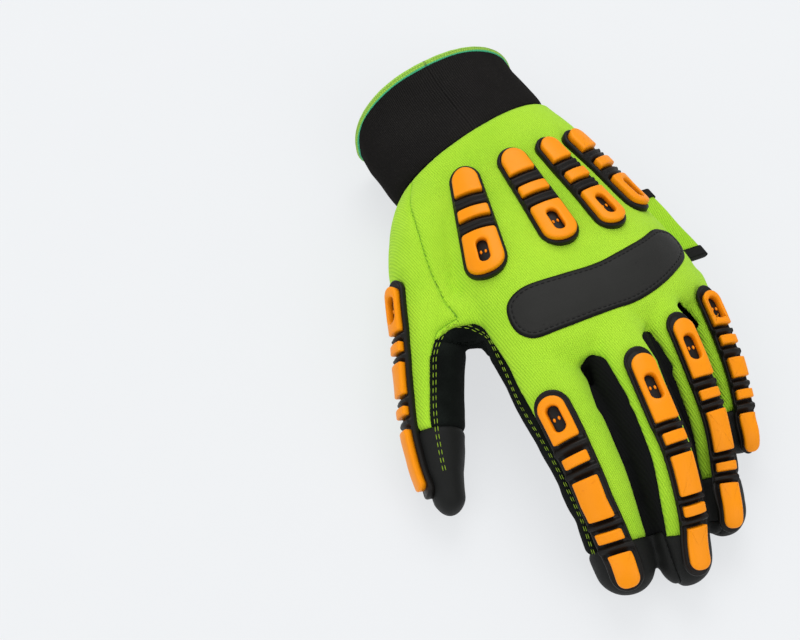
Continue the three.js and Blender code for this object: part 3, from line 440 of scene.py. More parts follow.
class Form:
    """The glove's smooth outer form, from which every fabric panel is cut."""

    HAND_ROWS = 46
    HAND_SIDES = 96
    FINGER_ROWS = 34
    FINGER_SIDES = 44
    SMOOTHING = 9
    WEB_ROWS = 14
    WEB_SIDES = 32
    TIP_DEGREES = (14, 28, 42, 55, 67, 77, 85)
    # Palm folds at two shares of each finger: depth and half width, on a finger 60 mm long
    FOLDS = (0.42, 0.68)
    FOLD_DEPTH = 0.9
    FOLD_WIDTH = 3.2
    FOLD_SPAN = 60
    # Height and spread of the cloth's unevenness
    SWELLS = ((0.42, 17.0), (0.16, 6.0))

    def __init__(self) -> None:
        """Blends the hand, the fingers and the web into one skin and gives it its folds."""
        bm = bmesh.new()
        self.hand(bm)
        for line in LINES.values():
            self.finger(bm, line)
        spot, radius = CROTCH_FILL
        bmesh.ops.create_icosphere(bm, subdivisions=3, radius=radius, matrix=Matrix.Translation(spot))
        web = FingerLine(WEB)
        rows, sides = [web.station(share) for share in np.linspace(0, 1, self.WEB_ROWS)], self.WEB_SIDES
        sheet(bm, [[s.around(i / sides * 360, 0) for i in range(sides)] for s in rows])
        closed(bm)
        self.bm = self.blended(bm)
        self.relax()
        self.crease()
        self.bm.normal_update()
        self.tree = BVHTree.FromBMesh(self.bm)
        LOG.info("outer form: %d faces", len(self.bm.faces))

    def hand(self, bm: BMesh) -> None:
        """Adds the body of the hand."""
        left, right = Spline([row[0] for row in HAND]), Spline([row[1] for row in HAND])
        sizes = Spline([(*row[2], 0.0) for row in HAND])
        powers = Spline([(*row[3], 0.0) for row in HAND])
        rows = []
        for share in np.linspace(0, 1, self.HAND_ROWS):
            rise, drop, _ = sizes.at(share)
            top, bottom, _ = powers.at(share)
            ends = left.at(share), right.at(share)
            rows.append(section(*ends, rise, drop, (top, bottom), 0, 0, self.HAND_SIDES))
        sheet(bm, rows)

    def finger(self, bm: BMesh, line: FingerLine) -> None:
        """Adds a finger with its round tip."""
        rows = [line.station(share) for share in np.linspace(0, 1, self.FINGER_ROWS)]
        end = rows[-1]
        for degrees in self.TIP_DEGREES:
            shrink = math.cos(math.radians(degrees))
            reach = (end.width + end.height) / 2 * math.sin(math.radians(degrees))
            rows.append(Station(end.at + end.along * reach, end.along, end.side, end.up,
                                end.width * shrink, end.height * shrink))
        sides = self.FINGER_SIDES
        sheet(bm, [[rested(s.around(i / sides * 360, 0)) for i in range(sides)] for s in rows])

    @staticmethod
    def blended(bm: BMesh) -> BMesh:
        """One even skin over overlapping bodies.

        Args:
            bm: the bodies, which are used up.

        Returns:
            The skin.
        """
        mesh = bpy.data.meshes.new("form")
        bm.to_mesh(mesh)
        bm.free()
        holder = bpy.data.objects.new("form", mesh)
        bpy.context.scene.collection.objects.link(holder)
        modifier = holder.modifiers.new("skin", "REMESH")
        modifier.mode = "VOXEL"
        modifier.voxel_size = VOXEL
        evaluated = holder.evaluated_get(bpy.context.evaluated_depsgraph_get())
        skin = bmesh.new()
        skin.from_mesh(evaluated.to_mesh())
        bpy.data.objects.remove(holder)
        bpy.data.meshes.remove(mesh)
        return skin

    def relax(self) -> None:
        """Smooths the skin evenly."""
        for _ in range(self.SMOOTHING):
            bmesh.ops.smooth_vert(self.bm, verts=self.bm.verts, factor=0.5, use_axis_x=True, use_axis_y=True,
                                  use_axis_z=True)

    def crease(self) -> None:
        """Gives the cloth its soft unevenness and its folds."""
        self.bm.normal_update()
        points = points_of(self.bm)
        folds = np.zeros(len(points))
        for name in HAND_FINGERS:
            share, turn, _ = LINES[name].locate(points)
            palm = smoothstep(70, 150, np.abs(turn))
            for joint in self.FOLDS:
                away = (share - joint) * self.FOLD_SPAN / self.FOLD_WIDTH
                folds -= self.FOLD_DEPTH * palm * np.exp(-away ** 2)
        for vert, place, fold in zip(self.bm.verts, points, folds):
            spot = Vector(place)
            swell = sum(height * noise.noise(spot / spread) for height, spread in self.SWELLS)
            vert.co += vert.normal * (swell + float(fold))
            vert.co.z = max(vert.co.z, FLOOR_LIFT)


def wrist_side(points: np.ndarray) -> np.ndarray:
    """Distance from the wrist seam towards the fingers."""
    one, two = (np.array(end[:2]) for end in WRIST_SEAM)
    across = (two - one) / np.linalg.norm(two - one)
    gap = points[:, :2] - one
    return across[1] * gap[:, 0] - across[0] * gap[:, 1]


# The hand's seam: where its levels are read from the thumb side, over what span, the level where no
# section is near, and how far it runs past the last section
SEAM_LEFT = -32.0
SEAM_SPAN = 84.0
SEAM_TOP = 40.0
SEAM_PAST = 7.0


def hand_seam(points: np.ndarray) -> np.ndarray:
    """Field of the palm side of the hand's seam, from heights between its two edges."""
    left = np.array([row[0] for row in HAND])
    right = np.array([row[1] for row in HAND])
    seam = np.array([row[4] for row in HAND])
    x, y, z = points.T
    t = np.clip((x - SEAM_LEFT) / SEAM_SPAN, -0.3, 1.2)
    lines = left[None, :, 1] + t[:, None] * (right - left)[None, :, 1]
    level = np.full(len(points), SEAM_TOP)
    for i in range(len(HAND) - 1):
        share = (lines[:, i] - y) / (lines[:, i] - lines[:, i + 1])
        inside = (share >= 0) & (share < 1)
        edge = seam[i] + (seam[i + 1] - seam[i]) * share
        other = right[i, 2] + (right[i + 1, 2] - right[i, 2]) * share
        level = np.where(inside, edge + (other - edge) * np.clip(t, 0, 1), level)
    beyond = lines[:, 0] < y
    level = np.where(beyond, seam[0] + (right[0, 2] - seam[0]) * np.clip(t, 0, 1), level)
    return np.minimum(level - z, y - (lines[:, -1] - SEAM_PAST))


def turn_margin(turn: np.ndarray, low: np.ndarray, high: float, radius: np.ndarray) -> np.ndarray:
    """How far inside a range of degrees a place is, in millimetres round the finger."""
    return np.radians(np.minimum(turn - low, high - turn)) * radius


# Shares of a finger at which its palm side and its back start; in millimetres, how far from its skin
# it reaches, how far past the middle to its neighbour, and the width of the blend
PALM_START = -0.05
BACK_START = 0.08
FINGER_ROOM = 4.0
FINGER_SHARED = 1.0
PALM_BLEND = 1.5


def palm_field(points: np.ndarray) -> np.ndarray:
    """Field of everything on the palm side of the seams.

    Args:
        points: the places, one row each.

    Returns:
        The field, positive on the palm side.
    """
    total = hand_seam(points)
    located = {name: LINES[name].locate(points) for name in HAND_FINGERS}
    for name in HAND_FINGERS:
        line = LINES[name]
        share, turn, radius = located[name]
        nearest = np.min([located[other][2] for other in HAND_FINGERS if other != name], axis=0)
        if name == "index":
            far, near = turn - 90, np.interp(share, *FOREFINGER_SEAM) - turn
        else:
            far, near = turn - (ULNAR_SEAM if name == "little" else 90.0), -90 - turn
        side = np.radians(np.maximum(far, near)) * radius
        height = np.interp(share, np.linspace(0, 1, len(FINGERS[name])), [row[4] for row in FINGERS[name]])
        room = height + FINGER_ROOM
        inside = np.minimum(side, np.minimum((share - PALM_START) * line.length, room - radius))
        inside = np.minimum(inside, nearest - radius + FINGER_SHARED)
        own = np.minimum(-side, (share - BACK_START) * line.length)
        own = np.minimum(own, np.minimum(room, nearest) - radius)
        total = smooth_max(np.minimum(total, -own), inside, PALM_BLEND)
    return total


# How far from the skin a cap's field reaches, in millimetres
CAP_ROOM = 5.5


def cap_field(name: str) -> Field:
    """Field of one fingertip cap."""
    station = LINES[name].station(CAP_START[name])

    def value(points: np.ndarray) -> np.ndarray:
        """Distance past the seam, near the finger."""
        ahead = (points - np.array(station.at)) @ np.array(station.along)
        _, _, radius = LINES[name].locate(points)
        return np.minimum(ahead, station.height + CAP_ROOM - radius)
    return value


def slit_field(points: np.ndarray, start: tuple, end: tuple, narrow: float, wide: float) -> np.ndarray:
    """Field of a slit between two points, widening from one to the other.

    Args:
        points: the places to measure.
        start: the slit's end at the crotch.
        end: its end between the fingers.
        narrow: half its width at the start.
        wide: half its width at the end.

    Returns:
        The field, positive in the slit.
    """
    lean = np.array(SLIT_LEAN)
    flat = points - np.array(start)
    flat = flat - np.outer(flat @ lean, lean)
    along = np.array(end) - np.array(start)
    along = along - (along @ lean) * lean
    share = np.clip(flat @ along / (along @ along), 0, 1)
    away = np.linalg.norm(flat - np.outer(share, along), axis=1)
    return np.minimum(narrow + (wide - narrow) * share - away, points[:, 2] - start[2] + SLIT_DEPTH)


# Reach of a strip round its finger from its start on, how far it runs under the cap, in shares of the
# finger, and the widths of its blends, in millimetres
STRIP_RUNS, STRIP_REACH = (0.0, 0.06, 0.2), (19.0, 17.0, 15.4)
STRIP_UNDER_CAP = 0.05
STRIP_BLEND = 4.0
SLIT_BLEND = 1.0
# How steeply a strip ends on its neighbour's side, and by how much it passes the middle
NEARER_SLOPE = 0.7
NEARER_PAST = 1.0
# The bridge between two strips: share of the fingers, drop, its width as a share of the distance
# between them, and sizes along and up
BRIDGE_SHARE = 0.12
BRIDGE_DROP = 5
BRIDGE_WIDTH, BRIDGE_LENGTH, BRIDGE_HEIGHT = 0.24, 8.0, 7.0


def strip_field(near: str, far: str) -> Field:
    """Field of the dark strip between two fingers, with a round end at the crotch.

    Args:
        near: the finger nearer to the thumb.
        far: its neighbour.

    Returns:
        The field.
    """
    def half(points: np.ndarray, name: str, start: float, backs: tuple, sign: float) -> np.ndarray:
        """The strip on one finger.

        Args:
            points: the places, one row each.
            name: the finger.
            start: the share of the finger where it starts.
            backs: the degrees of its back seam.
            sign: the side of the finger, 1 for the little-finger side.

        Returns:
            The field of this half.
        """
        line = LINES[name]
        share, turn, radius = line.locate(points)
        side = turn_margin(turn * sign, np.interp(share, STRIP_SHARES, backs), STRIP_PALM, radius)
        root = np.interp(share, [start + run for run in STRIP_RUNS], STRIP_REACH)
        past = CAP_START[name] + STRIP_UNDER_CAP - share
        lengths = np.minimum((share - start) * line.length, past * line.length)
        return smooth_min(np.minimum(side, root - radius), lengths, STRIP_BLEND)

    def value(points: np.ndarray) -> np.ndarray:
        """Both halves, the bridge between them and the slit.

        Args:
            points: the places, one row each.

        Returns:
            The field of the strip.
        """
        one, two = LINES[near].station(BRIDGE_SHARE).at, LINES[far].station(BRIDGE_SHARE).at
        middle = (np.array(one) + np.array(two)) / 2 - (0, 0, BRIDGE_DROP)
        left, right = np.array(HAND[-1][0]), np.array(HAND[-1][1])
        middle[1] = left[1] + (right[1] - left[1]) * (middle[0] - left[0]) / (right[0] - left[0])
        height = abs(one.z - two.z) / 2 + BRIDGE_HEIGHT
        size = np.array(((two.x - one.x) * BRIDGE_WIDTH, BRIDGE_LENGTH, height))
        gap = (points - middle) / size
        bridge = (1.0 - np.sqrt((gap * gap).sum(1))) * size[0]
        one_side, other_side = CROTCHES[near, far]
        nearer = (LINES[far].locate(points)[2] - LINES[near].locate(points)[2]) * NEARER_SLOPE
        halves = np.maximum(np.minimum(half(points, near, *one_side, 1.0), nearer + NEARER_PAST),
                            np.minimum(half(points, far, *other_side, -1.0), NEARER_PAST - nearer))
        strip = smooth_max(halves, bridge, STRIP_BLEND)
        # The slit lays black knit over the top of the form where the fingers meet: partly the fourchette seen
        # in the gap, partly painted shade of the gap
        return smooth_max(strip, slit_field(points, *SLITS[near, far]), SLIT_BLEND)
    return value


def thumb_back_field(points: np.ndarray) -> np.ndarray:
    """Field of the green back of the thumb."""
    share, turn, radius = LINES["thumb"].locate(points)
    shares = THUMB_BACK[:, 0]
    start = np.interp(share, shares, THUMB_BACK[:, 1])
    end = np.interp(share, shares, THUMB_BACK[:, 2])
    reach = np.interp(share, shares, THUMB_BACK[:, 3])
    side = np.radians(np.minimum(start - turn, turn - end)) * radius
    return np.minimum(np.minimum(side, reach - radius), (share - shares[0]) * FingerLine.OVERRUN)


def thumb_front_field(points: np.ndarray) -> np.ndarray:
    """Field of the dark front of the thumb."""
    share, _, radius = LINES["thumb"].locate(points)
    return np.minimum((share - THUMB_FRONT_START) * LINES["thumb"].length, THUMB_FRONT_REACH - radius)


def outline_field(outline: np.ndarray, points: np.ndarray) -> np.ndarray:
    """Signed distance inside a closed flat outline.

    Args:
        outline: the outline's points.
        points: the places to measure.

    Returns:
        The distance to the outline, positive inside.
    """
    nearest = np.full(len(points), np.inf)
    inside = np.zeros(len(points), bool)
    x, y = points[:, 0], points[:, 1]
    for a, b in zip(outline, np.roll(outline, -1, axis=0)):
        edge = b - a
        share = np.clip(((points[:, :2] - a) @ edge) / max(edge @ edge, 1e-9), 0, 1)
        gap = points[:, :2] - a - share[:, None] * edge
        nearest = np.minimum(nearest, (gap * gap).sum(1))
        crosses = (a[1] > y) != (b[1] > y)
        height = b[1] - a[1] if abs(b[1] - a[1]) > 1e-9 else 1e-9
        inside ^= crosses & (x < (y - a[1]) * edge[0] / height + a[0])
    return np.where(inside, 1.0, -1.0) * np.sqrt(nearest)


def rounded_outline(corners: Sequence[Sequence[float]], steps: int) -> np.ndarray:
    """A smooth closed outline through corner points."""
    points = [np.array((*corner, 0.0)) for corner in corners]
    count = len(points)
    wrapped = Spline([points[i % count] for i in range(-2, count + 3)])
    spans = count + 4
    return np.array([wrapped.at((2 + count * i / steps) / spans)[:2] for i in range(steps)])


class Sock:
    """One socket's value in shader maths."""

    def __init__(self, tree: "Nodes", link) -> None:
        """Wraps a socket or a number."""
        self.tree, self.link = tree, link

    def maths(self, operation: str, *others) -> "Sock":
        """This value put through a Math node."""
        return self.tree.node("ShaderNodeMath", {"operation": operation}, self, *others)["Value"]

    def __add__(self, other) -> "Sock":
        """Sum."""
        return self.maths("ADD", other)

    __radd__ = __add__

    def __mul__(self, other) -> "Sock":
        """Product."""
        return self.maths("MULTIPLY", other)

    __rmul__ = __mul__

    def __sub__(self, other) -> "Sock":
        """Difference."""
        return self.maths("SUBTRACT", other)

    def __rsub__(self, other) -> "Sock":
        """Reflected difference."""
        return Sock(self.tree, other).maths("SUBTRACT", self)

    def sine(self) -> "Sock":
        """Sine."""
        return self.maths("SINE")

    def power(self, exponent: float) -> "Sock":
        """Power."""
        return self.maths("POWER", exponent)

    def clamp(self) -> "Sock":
        """Value held between 0 and 1."""
        return self.maths("MAXIMUM", 0.0).maths("MINIMUM", 1.0)


class Nodes:
    """A material's node tree."""

    def __init__(self, name: str) -> None:
        """Makes an empty material with one surface shader."""
        self.material = bpy.data.materials.new(name)
        self.material.use_nodes = True
        self.tree = self.material.node_tree
        self.tree.nodes.clear()
        self.shader = self.tree.nodes.new("ShaderNodeBsdfPrincipled")
        output = self.tree.nodes.new("ShaderNodeOutputMaterial")
        self.tree.links.new(self.shader.outputs["BSDF"], output.inputs["Surface"])

    def node(self, kind: str, settings: dict, *inputs, **named) -> dict[str, Sock]:
        """Adds a node.

        Args:
            kind: its type.
            settings: its properties.
            inputs: values or links of its sockets, in order.
            named: values or links of its sockets, by name, with _ for a space.

        Returns:
            Its outputs by name.
        """
        made = self.tree.nodes.new(kind)
        for key, value in settings.items():
            setattr(made, key, value)
        pairs = list(enumerate(inputs)) + [(key.replace("_", " "), value) for key, value in named.items()]
        for key, value in pairs:
            self.feed(made.inputs[key], value)
        return {socket.name: Sock(self, socket) for socket in made.outputs}

    def feed(self, socket, value) -> None:
        """Sets or links one socket."""
        if isinstance(value, Sock) and isinstance(value.link, bpy.types.NodeSocket):
            self.tree.links.new(value.link, socket)
        elif isinstance(value, Sock):
            socket.default_value = value.link
        elif value is not None:
            socket.default_value = value

    def set(self, **values) -> None:
        """Sets or links sockets of the surface shader, with _ for a space."""
        for key, value in values.items():
            self.feed(self.shader.inputs[key.replace("_", " ")], value)

    def place(self) -> Sock:
        """The piece's own coordinates in metres."""
        return self.node("ShaderNodeTexCoord", {})["Object"]

    def attribute(self, name: str) -> tuple[Sock, Sock, Sock]:
        """The parts of a vector attribute of the piece."""
        vector = self.node("ShaderNodeAttribute", {"attribute_name": name})["Vector"]
        parts = self.node("ShaderNodeSeparateXYZ", {}, vector)
        return parts["X"], parts["Y"], parts["Z"]

    def noise(self, scale: float, detail: float = 3.0) -> Sock:
        """Noise of so many features a metre."""
        return self.node("ShaderNodeTexNoise", {}, Vector=self.place(), Scale=scale, Detail=detail)["Fac"]

    def mix(self, share, low, high) -> Sock:
        """A colour between two."""
        made = self.tree.nodes.new("ShaderNodeMix")
        made.data_type = "RGBA"
        self.feed(made.inputs["Factor"], share)
        colours = [socket for socket in made.inputs if socket.type == "RGBA"]
        self.feed(colours[0], low)
        self.feed(colours[1], high)
        return Sock(self, next(socket for socket in made.outputs if socket.type == "RGBA"))

    def bump(self, height: Sock, depth: float) -> Sock:
        """A bump of a depth in metres."""
        return self.node("ShaderNodeBump", {}, Strength=1.0, Distance=depth, Height=height)["Normal"]


@dataclass(frozen=True)
class Finish:
    """What all finishes share."""

    name: str
    colour: tuple[float, float, float, float]
    shade: tuple[float, float, float, float]
    roughness: float

    def build(self) -> bpy.types.Material:
        """Makes the material."""
        nodes = Nodes(self.name)
        nodes.set(Roughness=self.roughness)
        self.dress(nodes)
        return nodes.material

    def dress(self, nodes: Nodes) -> None:
        """Adds the colour and relief."""
        raise NotImplementedError


@dataclass(frozen=True)
class Knit(Finish):
    """Fine knit whose wales follow the cloth attribute."""

    pitch: float = 0.00085
    depth: float = 0.00022
    sheen: float = 0.06

    def dress(self, nodes: Nodes) -> None:
        """Wales, courses, faint blotches and fuzz."""
        across, along, shade = nodes.attribute("cloth")
        turn = math.tau / self.pitch
        wobble = nodes.noise(900.0, 2.0) * 1.6
        wale = (across * turn + wobble).sine() * 0.5 + 0.5
        course = (along * (turn * 1.3) + (across * (turn * 0.5)).sine() * 1.4 + wobble).sine() * 0.5 + 0.5
        fuzz = nodes.noise(5200.0, 2.0)
        weave = wale.power(0.7) * 0.62 + course * 0.26 + fuzz * 0.22
        cloud = nodes.noise(34.0, 3.0)
        dark = ((1.0 - weave) * 0.55 + (cloud - 0.5) * 0.8 + shade).clamp()
        nodes.set(Base_Color=nodes.mix(dark, self.colour, self.shade), Normal=nodes.bump(weave, self.depth))
        nodes.set(Sheen_Weight=self.sheen, Sheen_Roughness=0.5, Specular_IOR_Level=0.12)


@dataclass(frozen=True)
class Moulded(Finish):
    """Moulded rubber with a faint grain and dust, and painted shade along the rim of an overlay."""

    grain: float = 0.00003
    specks: float = 0.35
    gloss: float = 0.2

    def dress(self, nodes: Nodes) -> None:
        """Soft mottling, dust specks, a fine grain and painted shade along an overlay's rim."""
        fine = nodes.noise(2600.0, 3.0)
        speck = (nodes.noise(420.0, 4.0) - 0.66).maths("MAXIMUM", 0.0) * 9.0
        cloud = nodes.noise(60.0, 2.0)
        worn = (speck * self.specks + (cloud - 0.5) * 0.35).clamp()
        # The third value of the cloth attribute is painted shade along an overlay's rim, where its edge
        # rounds down to the cloth; it darkens the colour to near black there
        _, _, rim = nodes.attribute("cloth")
        body = nodes.mix(worn, self.colour, self.shade)
        nodes.set(Base_Color=nodes.mix(rim.clamp(), body, linear(14, 13, 13)))
        nodes.set(Roughness=(cloud - 0.5) * 0.18 + self.roughness, Normal=nodes.bump(fine, self.grain))
        nodes.set(Specular_IOR_Level=self.gloss)


@dataclass(frozen=True)
class Suede(Finish):
    """Brushed synthetic suede."""

    nap: float = 0.00018
    sheen: float = 0.01

    def dress(self, nodes: Nodes) -> None:
        """Short nap with brushed patches."""
        nap = nodes.noise(3600.0, 5.0)
        patch = nodes.noise(75.0, 4.0)
        light = ((patch - 0.42) * 1.4 + (nap - 0.5) * 0.9).clamp()
        nodes.set(Base_Color=nodes.mix(light, self.colour, self.shade), Normal=nodes.bump(nap, self.nap))
        nodes.set(Sheen_Weight=self.sheen, Sheen_Roughness=0.6, Specular_IOR_Level=0.05)


@dataclass(frozen=True)
class Ribbed(Finish):
    """Ribbed elastic knit, whose ribs are in the mesh."""

    pitch: float = 0.0008

    def dress(self, nodes: Nodes) -> None:
        """Thread pattern across the ribs and lint."""
        across, along, height = nodes.attribute("cloth")
        turn = math.tau / self.pitch
        thread = (along * turn + (across * turn).sine() * 1.2).sine() * 0.5 + 0.5
        lint = (nodes.noise(1500.0, 5.0) - 0.56).maths("MAXIMUM", 0.0) * 4.0
        light = (height * 0.45 + thread * 0.18 + lint * 0.6 + (nodes.noise(40.0, 2.0) - 0.5) * 0.4).clamp()
        nodes.set(Base_Color=nodes.mix(light, self.colour, self.shade))
        nodes.set(Normal=nodes.bump(thread + nodes.noise(4800.0, 3.0) * 0.6, 0.0001))
        nodes.set(Specular_IOR_Level=0.1)


@dataclass(frozen=True)
class Overlock(Finish):
    """Binding wrapped in overlock thread, with its edge in another shade."""

    pitch: float = 0.0011

    def dress(self, nodes: Nodes) -> None:
        """Slanted wraps of thread and the shaded inner edge."""
        around, across, edge = nodes.attribute("cloth")
        turn = math.tau / self.pitch
        wrap = (around * turn + across * 900.0 + nodes.noise(700.0, 2.0) * 1.4).sine() * 0.5 + 0.5
        fuzz = nodes.noise(4200.0, 3.0)
        teal = linear(72, 205, 150)
        body = nodes.mix(((1.0 - wrap) * 0.5 + (fuzz - 0.5) * 0.6).clamp(), self.colour, self.shade)
        nodes.set(Base_Color=nodes.mix(edge.clamp(), body, teal))
        nodes.set(Normal=nodes.bump(wrap + fuzz * 0.5, 0.00025), Sheen_Weight=0.2, Specular_IOR_Level=0.25)


@dataclass(frozen=True)
class Plain(Finish):
    """Even finish with a slight grain, for thread and the floor."""

    scale: float = 1800.0
    depth: float = 0.00005
    glow: float = 0.0

    def dress(self, nodes: Nodes) -> None:
        """Slight unevenness."""
        grain = nodes.noise(self.scale, 3.0)
        nodes.set(Base_Color=nodes.mix(grain, self.colour, self.shade), Normal=nodes.bump(grain, self.depth))
        nodes.set(Specular_IOR_Level=0.2, Emission_Color=linear(244, 246, 248), Emission_Strength=self.glow)


class Look(Enum):
    """The glove's finishes."""

    GREEN = Knit("green knit", linear(182, 231, 56), linear(122, 188, 26), 0.85)
    STRIP = Knit("black knit", linear(19, 20, 20), linear(7, 7, 8), 0.95, 0.0009, 0.00012, 0.0)
    ORANGE = Moulded("orange rubber", linear(252, 150, 2), linear(216, 106, 1), 0.42)
    RUBBER = Moulded("black rubber", linear(22, 20, 18), linear(10, 9, 8), 0.46, 0.00004, 0.2, 0.2)
    SMOOTH = Moulded("coated cloth", linear(42, 42, 40), linear(30, 30, 29), 0.58, 0.00008, 0.5, 0.14)
    CAP = Moulded("fingertip cloth", linear(29, 30, 29), linear(18, 19, 18), 0.6, 0.00008, 0.4, 0.12)
    SUEDE = Suede("brushed suede", linear(12, 15, 13), linear(34, 39, 36), 0.95)
    CUFF = Ribbed("cuff rib", linear(12, 11, 11), linear(46, 44, 42), 0.9)
    BINDING = Overlock("binding", linear(172, 222, 78), linear(116, 172, 38), 0.9)
    TRIM = Plain("black trim", linear(27, 27, 27), linear(15, 15, 15), 0.8)
    THREAD = Plain("green thread", linear(160, 192, 56), linear(118, 150, 30), 0.7)
    BLACK_THREAD = Plain("black thread", linear(22, 21, 21), linear(9, 9, 9), 0.55)
    DARK_THREAD = Plain("shaded thread", linear(104, 150, 22), linear(86, 128, 14), 0.8)
    FLOOR = Plain("floor", linear(120, 121, 122), linear(118, 119, 120), 0.9, 40.0, 0.0, 0.74)

    def material(self) -> bpy.types.Material:
        """The finish's material, made once."""
        return bpy.data.materials.get(self.value.name) or self.value.build()


def finish_piece(name: str, bm: BMesh, look: Look, nodes: Sequence[str] = (),
                 wall: float = 0.0) -> None:
    """Turns a mesh in millimetres into a piece of the glove.

    Args:
        name: the piece's name.
        bm: its mesh, which is used up.
        look: its finish.
        nodes: the CAD nodes that it stands for.
        wall: thickness to give an open skin, inwards, in millimetres.
    """
    for face in bm.faces:
        face.smooth = True
    bm.transform(PLACE)
    mesh = bpy.data.meshes.new(name)
    bm.to_mesh(mesh)
    bm.free()
    mesh.materials.append(look.material())
    piece = bpy.data.objects.new(name, mesh)
    bpy.context.scene.collection.objects.link(piece)
    if wall:
        modifier = piece.modifiers.new("wall", "SOLIDIFY")
        modifier.thickness = wall * MM
        modifier.offset = -1.0
    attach(piece, "root")
    if nodes:
        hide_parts(*nodes)
    LOG.info("%s: %d faces", name, len(mesh.polygons))


def add_cloth(bm: BMesh, values: np.ndarray) -> None:
    """Stores the cloth attribute, in metres across and along and one more value."""
    layer = bm.verts.layers.float_vector.new("cloth")
    for vert, value in zip(bm.verts, values):
        vert[layer] = value


def cloth_lines(points: np.ndarray) -> np.ndarray:
    """Lines that the knit follows, straight along the glove and a little askew."""
    x, y, _ = points.T
    return np.stack(((x + 0.22 * y) * MM, (y - 0.22 * x) * MM, np.zeros(len(points))), 1)


@dataclass
class Shell:
    """The cloth of the hand, cut into its panels."""

    form: Form
    roll: float = 1.0
    roll_width: float = 2.4

    # The number of the faces past the wrist, which no panel takes
    CUFF_SIDE = 99

    def build(self) -> None:
        """Cuts the panels one by one and makes each a piece."""
        bm = self.form.bm.copy()
        bm.faces.layers.int.new("panel")
        cut(bm, lambda points: -wrist_side(points), self.CUFF_SIDE)
        order: list[tuple[str, Field | None, Look, str]] = [
            (f"fingertip_{name}", cap_field(name), Look.CAP, "smooth_black")
            for name in ("thumb", *HAND_FINGERS)]
        for near, far in CROTCHES:
            order.append((f"fourchette_{near}_{far}", strip_field(near, far), Look.STRIP, "black_knit"))
        order.append(("thumb_back_panel", thumb_back_field, Look.GREEN, "green_knit"))
        order.append(("thumb_front_panel", thumb_front_field, Look.SUEDE, "suede"))
        order.append(("palm_panel", palm_field, Look.SUEDE, "suede"))
        for number, (_, value, _, _) in enumerate(order, 1):
            cut(bm, value, number)
        order.append(("back_panel", None, Look.GREEN, "green_knit"))
        for number, (name, _, look, slot) in enumerate(order, 1):
            self.panel(bm, name, number if number < len(order) else 0, look, slot)
        bm.free()

    def panel(self, whole: BMesh, name: str, number: int, look: Look, slot: str) -> None:
        """Takes one panel out of the cut skin, rolls its edges in and finishes it."""
        bm = whole.copy()
        layer = bm.faces.layers.int["panel"]
        bmesh.ops.delete(bm, geom=[face for face in bm.faces if face[layer] != number], context="FACES")
        keep_largest(bm)
        roll_edges(bm, self.roll, self.roll_width)
        add_cloth(bm, cloth_lines(points_of(bm)))
        finish_piece(name, bm, look, (name,), WALL)


def keep_largest(bm: BMesh) -> None:
    """Deletes all but the largest island of faces."""
    bm.faces.ensure_lookup_table()
    seen: set = set()
    islands = []
    for face in bm.faces:
        if face in seen:
            continue
        island, queue = [], [face]
        seen.add(face)
        while queue:
            here = queue.pop()
            island.append(here)
            for edge in here.edges:
                for other in edge.link_faces:
                    if other not in seen:
                        seen.add(other)
                        queue.append(other)
        islands.append(island)
    islands.sort(key=len)
    for island in islands[:-1]:
        bmesh.ops.delete(bm, geom=island, context="FACES")


def roll_edges(bm: BMesh, depth: float, width: float) -> None:
    """Turns the open edges of a skin inwards, as sewn edges are."""
    bm.normal_update()
    edge_verts = [vert for vert in bm.verts if vert.is_boundary]
    tree = KDTree(len(edge_verts))
    for i, vert in enumerate(edge_verts):
        tree.insert(vert.co, i)
    tree.balance()
    moves = []
    for vert in bm.verts:
        _, _, far = tree.find(vert.co)
        share = min(far / width, 1.0)
        moves.append(depth * (1.0 - share) ** 2)
    for vert, move in zip(bm.verts, moves):
        vert.co -= vert.normal * move


@dataclass
class Overlay:
    """A patch sewn on top of the cloth."""

    form: Form
    name: str
    value: Field
    look: Look
    slot: str
    thick: float = 1.0
    groove: float = 2.2
    puff: float = 0.0

    # Its edge's rounding, the gap under it, the groove of its seam and the run of the puff
    EDGE = (-0.35, 1.3)
    GAP = 0.15
    GROOVE_DEPTH = 0.3
    GROOVE_WIDTH = 0.45
    PUFF_RUN = 5.0
    # Insets from the edge where the painted shade along the rim begins and where it is darkest
    RIM_SHADE = (1.5, 0.7)

    def build(self) -> None:
        """Cuts the patch's outline, lifts it off the cloth, rounds its edge and marks the painted shade along
        its rim.
        """
        bm = self.form.bm.copy()
        panel = bm.faces.layers.int.new("panel")
        cut(bm, self.value, 1)
        bmesh.ops.delete(bm, geom=[face for face in bm.faces if face[panel] != 1], context="FACES")
        keep_largest(bm)
        bmesh.ops.subdivide_edges(bm, edges=bm.edges, cuts=1, use_grid_fill=True)
        bm.normal_update()
        inset = self.value(points_of(bm))
        rise = self.thick * smoothstep(*self.EDGE, inset) + self.GAP
        rise -= self.GROOVE_DEPTH * np.exp(-((inset - self.groove) / self.GROOVE_WIDTH) ** 2)
        rise += self.puff * smoothstep(self.groove, self.groove + self.PUFF_RUN, inset)
        for vert, height in zip(bm.verts, rise):
            vert.co += vert.normal * float(height)
            vert.co.z = max(vert.co.z, 0.0)
        lines = cloth_lines(points_of(bm))
        # Painted shade along the rim, where the edge rounds down towards the cloth
        lines[:, 2] = smoothstep(*self.RIM_SHADE, inset)
        add_cloth(bm, lines)
        finish_piece(self.name, bm, self.look, (self.name,), self.thick)


